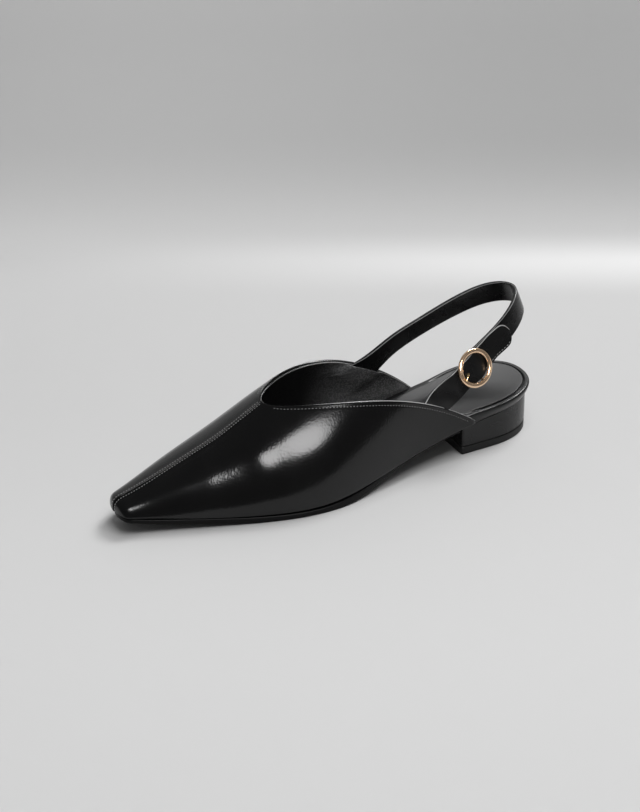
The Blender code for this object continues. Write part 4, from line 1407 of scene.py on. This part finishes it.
@dataclass
class Buckle:
    """Round ring with a bar dropped below its plane and a prong hooked round that bar."""

    middle: tuple[float, float, float] = (211.6, -26.0, 56.7)
    face: tuple[float, float, float] = (0.05, -0.94, 0.34)
    slope: float = 30.0
    radius: float = 9.75
    wide: float = 1.4
    deep: float = 1.2
    bar_drop: float = 2.6
    bar_radius: float = 0.8
    crank: tuple[tuple[float, float], ...] = ((0.0, 0.12), (0.8, 0.6), (2.15, 0.92), (2.95, 1.0))
    prong_radius: float = 0.6
    prong_tip: float = 10.2
    prong_slope: float = 34.0
    prong_dome: float = 1.1
    prong_least: float = 0.004
    gap: float = 0.3
    ring_count: int = 160
    ring_sides: int = 32
    bar_count: int = 70
    prong_count: int = 50
    rod_sides: int = 18

    def axes(self) -> tuple[Array, Array, Array]:
        """The buckle's own directions.

        Returns:
            Face normal, strap direction and bar direction.
        """
        face = unit(np.array(self.face))
        upward = unit(np.array([0.0, 0.0, 1.0]) - face * face[2])
        level = np.cross(upward, face)
        level = level * np.sign(level[0])
        turn = np.radians(self.slope)
        along = np.cos(turn) * level + np.sin(turn) * upward
        return face, along, np.cross(face, along)

    def at(self, along: Array, depth: Array, bar: Array = 0.0) -> Array:
        """Points by their places in the buckle's own axes.

        Args:
            along: Places along the strap from the ring's middle.
            depth: Heights above the ring's plane.
            bar: Places along the bar.

        Returns:
            The points.
        """
        face, run, side = self.axes()
        along, depth, bar = np.broadcast_arrays(along, depth, bar)
        return (np.array(self.middle) + along[..., None] * run + depth[..., None] * face
                + bar[..., None] * side)

    def prong_line(self, count: int) -> Array:
        """Centre line of the prong: straight from its tip on the rim, then round under the bar.

        Args:
            count: Points on the straight run; half as many go round the bar.

        Returns:
            The points.
        """
        hook = self.bar_radius + self.gap + self.prong_radius
        slope = np.radians(self.prong_slope)
        rim = np.hypot(self.wide * np.sin(slope), self.deep * np.cos(slope)) + self.gap + self.prong_radius
        high = rim / np.cos(slope) + (self.prong_tip - self.radius) * np.tan(slope)
        tip = np.array([-self.prong_tip, high])
        centre = np.array([0.0, -self.bar_drop])
        toward = centre - tip
        length = np.hypot(*toward)
        heading = np.arctan2(toward[1], toward[0]) - np.arcsin(hook / length)
        touch = tip + np.sqrt(length ** 2 - hook ** 2) * np.array([np.cos(heading), np.sin(heading)])
        begin = np.arctan2(*(touch - centre)[::-1])
        turn = np.linspace(begin, 0.0, count // 2)[1:]
        straight = np.linspace(tip, touch, count)
        hooked = centre + hook * np.stack([np.cos(turn), np.sin(turn)], -1)
        line = np.concatenate([straight, hooked])
        return self.at(line[:, 0], line[:, 1])

    def ring(self) -> bpy.types.Object:
        """The ring, an oval section carried round a circle, with the bar, a round rod along its crank.

        Returns:
            The buckle.
        """
        turn = np.linspace(0, 2 * np.pi, self.ring_count, endpoint=False)[:, None]
        section = np.linspace(0, 2 * np.pi, self.ring_sides, endpoint=False)
        radius = self.radius + self.wide * np.cos(section)
        rings = self.at(radius * np.cos(turn), self.deep * np.sin(section), radius * np.sin(turn))
        crank = np.array(self.crank)
        half = np.stack([crank[:, 0] - self.radius, -crank[:, 1] * self.bar_drop], -1)
        line = np.concatenate([half, half[::-1] * (-1, 1)])
        line = spline(run_length(line), line, np.linspace(0, run_length(line)[-1], self.bar_count))
        bar = tube(self.at(0.0, line[:, 1], line[:, 0]), np.full(self.bar_count, self.bar_radius),
                   self.rod_sides, self.axes()[1])
        return make_piece("buckle_ring", [loft(rings, True), loft(bar)], ROSE_GOLD, "buckle", sharp=60)

    def prong(self) -> bpy.types.Object:
        """The prong, a round rod whose tip is a dome.

        Returns:
            The prong.
        """
        line = self.prong_line(self.prong_count)
        run = run_length(line)
        dome = np.clip(run / (self.prong_dome * self.prong_radius), 0, 1)
        radius = self.prong_radius * np.sqrt(np.maximum(1 - (1 - dome) ** 2, self.prong_least))
        rings = tube(line, radius, self.rod_sides, self.axes()[2])
        return make_piece("buckle_prong_rod", [loft(rings)], YELLOW_GOLD, "buckle_prong", sharp=60)

    def build(self) -> list[bpy.types.Object]:
        """Makes the ring with its bar, and the prong."""
        return [self.ring(), self.prong()]


def tube(path: Array, radius: Array, sides: int, normal: Array) -> Array:
    """Rings of a round bar along a path.

    Args:
        path: Points of the centre line.
        radius: Radius at each point.
        sides: Points round each ring.
        normal: A direction that the path keeps away from.

    Returns:
        Rings, one for each point.
    """
    tangent = unit(np.gradient(path, axis=0))
    first = unit(np.cross(tangent, normal))
    second = np.cross(tangent, first)
    turn = np.linspace(0, 2 * np.pi, sides, endpoint=False)[:, None]
    around = np.cos(turn) * first[:, None] + np.sin(turn) * second[:, None]
    return path[:, None] + radius[:, None, None] * around


@dataclass
class Band:
    """A flat strap along a centre line: a crowned section with rounded edges and a round tip."""

    centres: Array
    across: Array
    outward: Array
    wide: Array
    thick: float
    tip: float
    skive: float = 16.0
    skived: float = 0.2
    ease: float = 0.5
    crown: float = 0.12
    flat: float = 0.94
    tip_power: float = 2.6
    tip_least: float = 0.003
    line: float = 0.24
    line_in: float = 0.2
    line_least: float = 0.02
    line_sides: int = 8

    def width(self) -> Array:
        """Width along the strap, closing at the tip as the root of 1 less a power of the way left.

        Returns:
            Widths, one for each centre.
        """
        run = run_length(self.centres)
        left = np.clip((run[-1] - run) / self.tip, 0, 1)
        return self.wide * np.sqrt(np.maximum(1 - (1 - left) ** self.tip_power, self.tip_least))

    def thinness(self) -> Array:
        """Share of the full thickness along the strap, eased in from its skived foot."""
        return self.skived + (1 - self.skived) * eased(0.0, self.skive, run_length(self.centres))

    def rings(self) -> Array:
        """Sections along the strap: quarter circles at the four corners, each face crowned as a parabola.

        Returns:
            Rings, one for each centre.
        """
        half = self.thick / 2
        bend = np.linspace(0, np.pi / 2, 6)
        flat = np.linspace(self.flat, -self.flat, 15)
        corner = np.stack([np.ones(6), -self.ease * (1 - np.cos(bend)),
                           half - self.ease * (1 - np.sin(bend))], -1)
        face = np.stack([flat, 0 * flat, half + self.crown * (1 - flat ** 2)], -1)
        top = np.concatenate([corner, face, corner[::-1] * (-1, -1, 1)])
        section = np.concatenate([top, top * (-1, -1, -1)])
        width = self.width()
        shrink = np.clip(width / (4 * self.ease), 0, 1)
        over = section[:, 0] * width[:, None] / 2 + section[:, 1] * shrink[:, None]
        thin = self.thinness()[:, None]
        deep = section[:, 2] * thin + half * (1 - thin)
        return (self.centres[:, None] + over[..., None] * self.across[:, None]
                + deep[..., None] * self.outward[:, None])

    def edge_cord(self, face: float | Array) -> Array:
        """Rings of a thin light line along the top edge, a painted highlight on the corner that catches
        light, as a round bar on the band's own section.

        Args:
            face: 1 on the outer corner, -1 on the inner, and between them across the edge.

        Returns:
            Rings, one for each centre.
        """
        half = self.thick / 2
        thin = self.thinness()
        deep = face * (half - self.line_in) * thin + half * (1 - thin)
        over = np.maximum(self.width() / 2 - self.line_in, self.line_least)
        path = self.centres + over[:, None] * self.across + deep[:, None] * self.outward
        return tube(path, np.full(len(path), self.line), self.line_sides, self.outward)

    def edge_row(self, inset: float, stitch: Stitch, span: tuple[float, float]) -> Shape:
        """Stitches along the lower edge of the outer face.

        Args:
            inset: Distance from the edge.
            stitch: Sizes of a stitch and the row's pitch.
            span: First and last distance along the strap.

        Returns:
            The points and the faces.
        """
        run = run_length(self.centres)
        at = np.arange(span[0], min(span[1], run[-1]), stitch.pitch)
        share = 1 - 2 * inset / np.maximum(self.width(), 2 * inset)
        line = (self.centres - self.across * (self.width() * share / 2)[:, None]
                + self.outward * (self.thick / 2 + self.crown * (1 - share ** 2))[:, None])
        places = np.stack([np.interp(at, run, line[:, k]) for k in range(3)], -1)
        facing = unit(np.stack([np.interp(at, run, self.outward[:, k]) for k in range(3)], -1))
        along = unit(np.gradient(places, axis=0))
        facing = unit(facing - along * (facing * along).sum(-1, keepdims=True))
        return stitch_parts(places + facing * stitch.lift, along, facing, stitch)


@dataclass
class Straps:
    """Back strap round the heel and the tab that holds it at the buckle."""

    last: Last
    buckle: Buckle
    strap_thick: float = 2.0
    tab_thick: float = 1.6
    seat: float = 0.55
    wall: float = 1.5
    strap_wide: float = 13.2
    tab_wide: float = 14.0
    past_bar: float = 4.5
    lean: float = 20.0
    wave: tuple[Wave, ...] = (Wave(-10.0, 0.0, 14.0), Wave(-6.6, 0.1, 14.2), Wave(-3.3, 0.62, 14.8),
                              Wave(0.0, 1.0, 15.2), Wave(3.3, 0.62, 14.8), Wave(6.6, 0.1, 14.2),
                              Wave(10.0, 0.0, 14.0))
    laid: tuple[tuple[float, float], ...] = ((18.0, 0.2), (24.8, 0.7), (30.9, 1.2))
    tab_stitch: Stitch = Stitch(1.35, 0.45, 0.34, 2.1, 0.0)
    stitch_in: float = 1.3
    stitched: tuple[float, float] = (49.0, 70.5)
    crossing: tuple[float, float] = (0.56, 0.72)
    squaring: tuple[float, float] = (10.0, 16.0)
    strap_tip: float = 5.0
    tab_tip: float = 6.5
    tab_line: float = 0.3
    strap_count: int = 300
    tab_count: int = 320

    def foot(self, side: Side, stations: Sequence[Station], thick: float) -> list[tuple[float, ...]]:
        """Stations of a strap's foot, laid against the inside of the wall."""
        depth = self.wall + self.seat + thick / 2
        return [(*self.last.wall_point(side, row.u, row.z, depth), row.lean, row.wide) for row in stations]

    @staticmethod
    def path(stations: Sequence[tuple[float, ...]], count: int) -> tuple[Array, Array, Array]:
        """The natural curve through a strap's stations.

        Args:
            stations: Rows of a point, a lean and a width.
            count: Points along the curve.

        Returns:
            Even points, and the leans and widths there.
        """
        rows = np.asarray(stations, float)
        run = run_length(rows[:, :3])
        line = spline(run, rows, np.linspace(0, run[-1], count))
        return line[:, :3], line[:, 3], line[:, 4]

    @staticmethod
    def axes(centres: Array, leans: Array) -> tuple[Array, Array, Array]:
        """Directions of a strap whose top edge leans in.

        Args:
            centres: Points of its centre line.
            leans: Leans there, in degrees.

        Returns:
            Tangent, width and outward directions.
        """
        tangent = unit(np.gradient(centres, axis=0))
        upward = unit(np.array([0.0, 0.0, 1.0]) - tangent * tangent[:, 2:3])
        lean = np.radians(leans)[:, None]
        across = np.cos(lean) * upward + np.sin(lean) * np.cross(tangent, upward)
        return tangent, across, np.cross(across, tangent)

    def depth(self) -> float:
        """Where the back strap's middle lies, under the bar and the prong's hook.

        Returns:
            Height above the ring's plane, which is below 0.
        """
        held = self.buckle
        hook = held.bar_radius + 2 * held.gap + 2 * held.prong_radius
        return -(held.bar_drop + hook + self.strap_thick / 2)

    def back_band(self) -> Band:
        """The back strap from the medial quarter round behind the heel to the bar.

        Returns:
            The band.
        """
        foot = self.foot(Side.MEDIAL, STRAP_FOOT, self.strap_thick)
        end = [(*self.buckle.at(along, self.depth()), self.lean, self.strap_wide)
               for along in (0.0, -self.past_bar)]
        centres, leans, wide = self.path([*foot, *STRAP_LOOP, *end], self.strap_count)
        _, across, outward = self.axes(centres, leans)
        return Band(centres, across, outward, wide, self.strap_thick, self.strap_tip)

    def tab_band(self, back: Band) -> Band:
        """The tab: from the lateral quarter under the ring, over its bar, and on along the back strap.

        Args:
            back: The strap that the tab's end lies on.

        Returns:
            The band.
        """
        held = self.buckle
        over_bar = -held.bar_drop + held.bar_radius + held.gap + self.tab_thick / 2
        under_rim = -held.deep - held.gap - self.tab_thick / 2
        ring = [(*held.at(row.along, under_rim + (over_bar - under_rim) * row.lift), self.lean, row.wide)
                for row in self.wave]
        away = np.linalg.norm(back.centres - held.at(0.0, self.depth()), axis=1)
        order = np.arange(len(away))
        behind = order > len(away) // 2
        before = behind & (order < np.where(behind, away, np.inf).argmin())
        apart = (self.strap_thick + self.tab_thick) / 2 + held.gap
        laid = []
        for reach, slide in self.laid:
            k = np.where(before, np.abs(away - reach), np.inf).argmin()
            spot = back.centres[k] + apart * back.outward[k] - slide * back.across[k]
            laid.append((*spot, self.lean, self.tab_wide))
        foot = self.foot(Side.LATERAL, TAB_FOOT, self.tab_thick)
        path, leans, wide = self.path([*foot, *ring, *laid], self.tab_count)
        tangent, across, _ = self.axes(path, -leans)
        _, run, side = held.axes()
        squared = 1 - eased(*self.squaring, np.abs((path - np.array(held.middle)) @ run))
        across = across + (side - across) * squared[:, None]
        across = unit(across - tangent * (across * tangent).sum(1)[:, None])
        outward = np.cross(tangent, across)
        return Band(path, across, outward, wide, self.tab_thick, self.tab_tip, line=self.tab_line)

    def build(self) -> list[bpy.types.Object]:
        """Makes both straps, their edge lines of painted highlight and the tab's stitches.

        The strap's line, a painted highlight, is on its inner corner at first and crosses to its outer corner
        behind the heel, keeping to the corner seen from the camera.

        Returns:
            The pieces.
        """
        back = self.back_band()
        tab = self.tab_band(back)
        run = run_length(back.centres)
        crossed = 2 * eased(*self.crossing, run / run[-1]) - 1
        row = tab.edge_row(self.stitch_in, self.tab_stitch, self.stitched)
        return [make_piece("heel_strap", [loft(back.rings())], STRAP, "back_strap", sharp=70),
                make_piece("buckle_tab", [loft(tab.rings())], STRAP, "buckle_strap", sharp=70),
                make_piece("tab_stitches", [row], THREAD),
                # Edge lines: painted highlights along the straps' top edges.
                make_piece("strap_edge_highlight_lines", [loft(back.edge_cord(crossed))], STRAP_EDGE_HIGHLIGHT),
                make_piece("tab_edge_highlight_lines", [loft(tab.edge_cord(1.0))], TAB_EDGE_HIGHLIGHT)]


# Studio

def toward(azimuth: float, elevation: float) -> Array:
    """Direction by azimuth round from +X and elevation, in degrees."""
    a, e = np.radians(azimuth), np.radians(elevation)
    return np.array([np.cos(e) * np.cos(a), np.cos(e) * np.sin(a), np.sin(e)])


@dataclass(frozen=True)
class Panel:
    """A soft light that its focus sees between two directions, each an azimuth and an elevation. Metres here.

    Key and back panels show only in reflections, and the fills light only what is matte.
    """

    name: str
    ends: tuple[tuple[float, float], tuple[float, float]]
    focus: tuple[float, float, float]
    distance: float
    tall: float
    watts: float
    glossy: bool = True
    diffuse: bool = True
    shape: LightShape = LightShape.RECTANGLE

    def build(self) -> None:
        """Hangs the light: its length spans the two directions at its distance, and it faces the focus."""
        first, final = (toward(*end) for end in self.ends)
        middle, long = unit(first + final), unit(final - first)
        data = bpy.data.lights.new(self.name, "AREA")
        data.shape = self.shape.value
        data.size = 2 * self.distance * np.tan(np.arccos(np.clip(first @ final, -1, 1)) / 2)
        data.size_y, data.energy = self.tall, self.watts
        light = bpy.data.objects.new(self.name, data)
        turned = Matrix(np.stack([long, np.cross(middle, long), middle], 1).tolist()).to_4x4()
        light.matrix_world = Matrix.Translation(np.array(self.focus) + self.distance * middle) @ turned
        light.visible_camera, light.visible_glossy, light.visible_diffuse = False, self.glossy, self.diffuse
        bpy.context.scene.collection.objects.link(light)


@dataclass
class Studio:
    """Pale floor that sweeps up behind, soft lights and the camera of the photograph. Metres here."""

    eye: tuple[float, float, float] = (-0.417225, -0.7611, 0.5423)
    target: tuple[float, float, float] = (-0.004685, 0.0016, 0.04221)
    lens: float = 80.74
    sensor: float = 36.0
    bend_from: float = 0.30
    bend_radius: float = 0.55
    wall_high: float = 1.5
    near: float = 0.08
    flat_to: float = 0.1
    front: float = 1.6
    half: float = 2.2
    # level is the floor's tone from left to right. The others paint light and shade: band, band_in, band_out
    # and band_span a painted highlight where the paper bends up, stronger to the right; behind and shade_run
    # painted shade on the wall; depth and depth_run painted shade further back; rise and rise_run painted
    # light higher up the wall.
    level: tuple[float, float] = (0.705, 0.675)
    span: tuple[float, float] = (-0.25, 0.25)
    band: tuple[float, float] = (-0.03, 0.22)
    band_in: tuple[float, float] = (0.215, 0.278)
    band_out: tuple[float, float] = (0.272, 0.325)
    band_span: tuple[float, float] = (-0.30, 0.26)
    behind: tuple[float, float] = (-0.25, -0.39)
    shade_run: tuple[float, float] = (0.24, 0.46)
    depth: tuple[float, float] = (0.985, 0.885)
    depth_run: tuple[float, float] = (-0.20, 0.12)
    rise: tuple[float, float] = (1.0, 1.34)
    rise_run: tuple[float, float] = (0.06, 0.20)
    room: float = 0.13
    lights: tuple[Panel, ...] = (
        Panel("key_panel", ((-119, 49), (-78, 18)), (-0.045, -0.02, 0.035), 0.36, 0.15, 1.6, diffuse=False,
              shape=LightShape.ELLIPSE),
        Panel("back_panel", ((20, 46), (75, 52)), (0.08, 0.0, 0.05), 1.3, 0.22, 20.0, diffuse=False),
        Panel("side_fill", ((-10, 60), (32, 60)), (0.0, 0.0, 0.0), 1.7, 0.6, 13.5, glossy=False),
        Panel("top_fill", ((-130, 66), (-30, 66)), (0.0, 0.0, 0.0), 2.0, 1.1, 20.4, glossy=False),
    )

    def camera(self) -> None:
        """The camera, its frame's height matched to the photograph's."""
        data = bpy.data.cameras.new("photo_camera")
        data.sensor_fit = "VERTICAL"
        data.sensor_height = self.sensor
        data.lens = self.lens
        held = bpy.data.objects.new("photo_camera", data)
        held.location = self.eye
        held.rotation_euler = (Vector(self.target) - Vector(self.eye)).to_track_quat("-Z", "Y").to_euler()
        bpy.context.scene.collection.objects.link(held)
        bpy.context.scene.camera = held

    def floor(self) -> list[bpy.types.Object]:
        """Floor and backdrop: flat, then a quarter circle, then upright, across the view.

        The floor far in front of the shoe is a sheet of its own that no reflection shows, as in a dark room.

        Returns:
            The sheets.
        """
        turn = np.linspace(0, np.pi / 2, 33)[1:]
        reach = np.concatenate([[-self.near, self.flat_to, self.bend_from],
                                self.bend_from + self.bend_radius * np.sin(turn),
                                [self.bend_from + self.bend_radius]])
        high = np.concatenate([[0.0] * 3, self.bend_radius * (1 - np.cos(turn)), [self.wall_high]])
        paper = self.paper()
        sheets = [self.sheet("studio_sweep", reach, high, paper),
                  self.sheet("studio_front", np.array([-self.front, -self.near]), np.zeros(2), paper)]
        sheets[1].visible_glossy = False
        return sheets

    def sheet(self, name: str, reach: Array, high: Array, paper: bpy.types.Material) -> bpy.types.Object:
        """A sheet across the view through a line of reaches and heights.

        Args:
            name: The sheet's name.
            reach: Distances behind the target along the view.
            high: Heights there.
            paper: Its material.

        Returns:
            The sheet.
        """
        view = unit((np.array(self.target) - self.eye) * (1, 1, 0))
        right = np.array([view[1], -view[0], 0.0])
        over = np.linspace(-self.half, self.half, 9)
        base = np.array([self.target[0], self.target[1], 0.0])
        grid = base + reach[:, None, None] * view + over[None, :, None] * right
        grid[..., 2] += high[:, None]
        here = np.arange(grid.shape[0] * grid.shape[1]).reshape(grid.shape[:2])
        faces = np.stack([here[:-1, :-1], here[:-1, 1:], here[1:, 1:], here[1:, :-1]], -1).reshape(-1, 4)
        mesh = bpy.data.meshes.new(name)
        mesh.from_pydata(grid.reshape(-1, 3).tolist(), [], faces.tolist())
        mesh.shade_smooth()
        mesh.materials.append(paper)
        made = bpy.data.objects.new(name, mesh)
        bpy.context.scene.collection.objects.link(made)
        return made

    def paper(self) -> bpy.types.Material:
        """Matte pale paper with painted light and shade in its tone: nearly even on the floor, a painted
        highlight band to the right where it bends, painted shade behind and further back, painted light
        higher up the wall.

        Returns:
            The material, its tone a product of smooth ramps across, back and up.
        """
        made = bpy.data.materials.new("studio_paper")
        made.use_nodes = True
        nodes, link = made.node_tree.nodes, made.node_tree.links.new
        shader = nodes["Principled BSDF"]
        shader.inputs["Roughness"].default_value = 1.0
        shader.inputs["Specular IOR Level"].default_value = 0.0
        place = nodes.new("ShaderNodeTexCoord")
        turned = nodes.new("ShaderNodeMapping")
        view = np.array(self.target) - self.eye
        turned.inputs["Rotation"].default_value = (0.0, 0.0, float(np.arctan2(view[0], view[1])))
        parts = nodes.new("ShaderNodeSeparateXYZ")
        link(place.outputs["Object"], turned.inputs["Vector"])
        link(turned.outputs["Vector"], parts.inputs["Vector"])

        def ramp(axis: Axis, low: float, high: float, first: float, final: float) -> bpy.types.NodeSocket:
            """Smooth change of a value between two places along one axis of the sheet.

            Args:
                axis: Which axis.
                low: Where the change begins.
                high: Where it ends.
                first: The value before it.
                final: The value after it.

            Returns:
                The socket that gives the value.
            """
            node = nodes.new("ShaderNodeMapRange")
            node.interpolation_type = "SMOOTHSTEP"
            node.inputs["From Min"].default_value, node.inputs["From Max"].default_value = low, high
            node.inputs["To Min"].default_value, node.inputs["To Max"].default_value = first, final
            link(parts.outputs[axis.value], node.inputs["Value"])
            return node.outputs["Result"]

        def joined(how: Joining, one: bpy.types.NodeSocket,
                   two: bpy.types.NodeSocket) -> bpy.types.NodeSocket:
            """Two values joined by a sum or a product.

            Args:
                how: Which of them.
                one: The first value.
                two: The second value.

            Returns:
                The socket that gives the result.
            """
            node = nodes.new("ShaderNodeMath")
            node.operation = how.value
            link(one, node.inputs[0])
            link(two, node.inputs[1])
            return node.outputs[0]

        # Painted light and shade on the paper: a highlight band at the bend, shade on the wall and further
        # back, light higher up.
        band = joined(Joining.PRODUCT, ramp(Axis.BACK, *self.band_in, 0.0, 1.0),
                      ramp(Axis.BACK, *self.band_out, 1.0, 0.0))
        band = joined(Joining.PRODUCT, band, ramp(Axis.ACROSS, *self.band_span, *self.band))
        tone = joined(Joining.SUM, ramp(Axis.ACROSS, *self.span, *self.level), band)
        shade = joined(Joining.PRODUCT, ramp(Axis.BACK, *self.shade_run, 0.0, 1.0),
                       ramp(Axis.ACROSS, *self.span, *self.behind))
        tone = joined(Joining.SUM, tone, joined(Joining.PRODUCT, tone, shade))
        tone = joined(Joining.PRODUCT, tone, ramp(Axis.BACK, *self.depth_run, *self.depth))
        tone = joined(Joining.PRODUCT, tone, ramp(Axis.UP, *self.rise_run, *self.rise))
        link(tone, shader.inputs["Base Color"])
        return made

    def air(self) -> None:
        """The dim room round the sheets, the same from every side."""
        world = bpy.data.worlds.new("studio_room")
        world.use_nodes = True
        tone = world.node_tree.nodes["Background"].inputs["Color"]
        tone.default_value = (self.room, self.room, self.room, 1.0)
        bpy.context.scene.world = world

    def build(self) -> None:
        """Sets the camera, the floor, the lights and the room."""
        bpy.context.scene.view_settings.view_transform = "Standard"
        self.camera()
        self.floor()
        for panel in self.lights:
            panel.build()
        self.air()


def main() -> None:
    """Builds the shoe piece by piece, then the studio, and notes the sizes."""
    logging.basicConfig(level=logging.INFO, format="%(name)s: %(message)s")
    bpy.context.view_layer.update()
    last = Last()
    buckle = Buckle()
    for assembly in (Upper(last), Insole(last), Outsole(last), Heel(last), Straps(last, buckle), buckle):
        for piece in assembly.build():
            LOG.info("%s: %d faces", piece.name, len(piece.data.polygons))
    Studio().build()


if __name__ == "__main__":
    main()
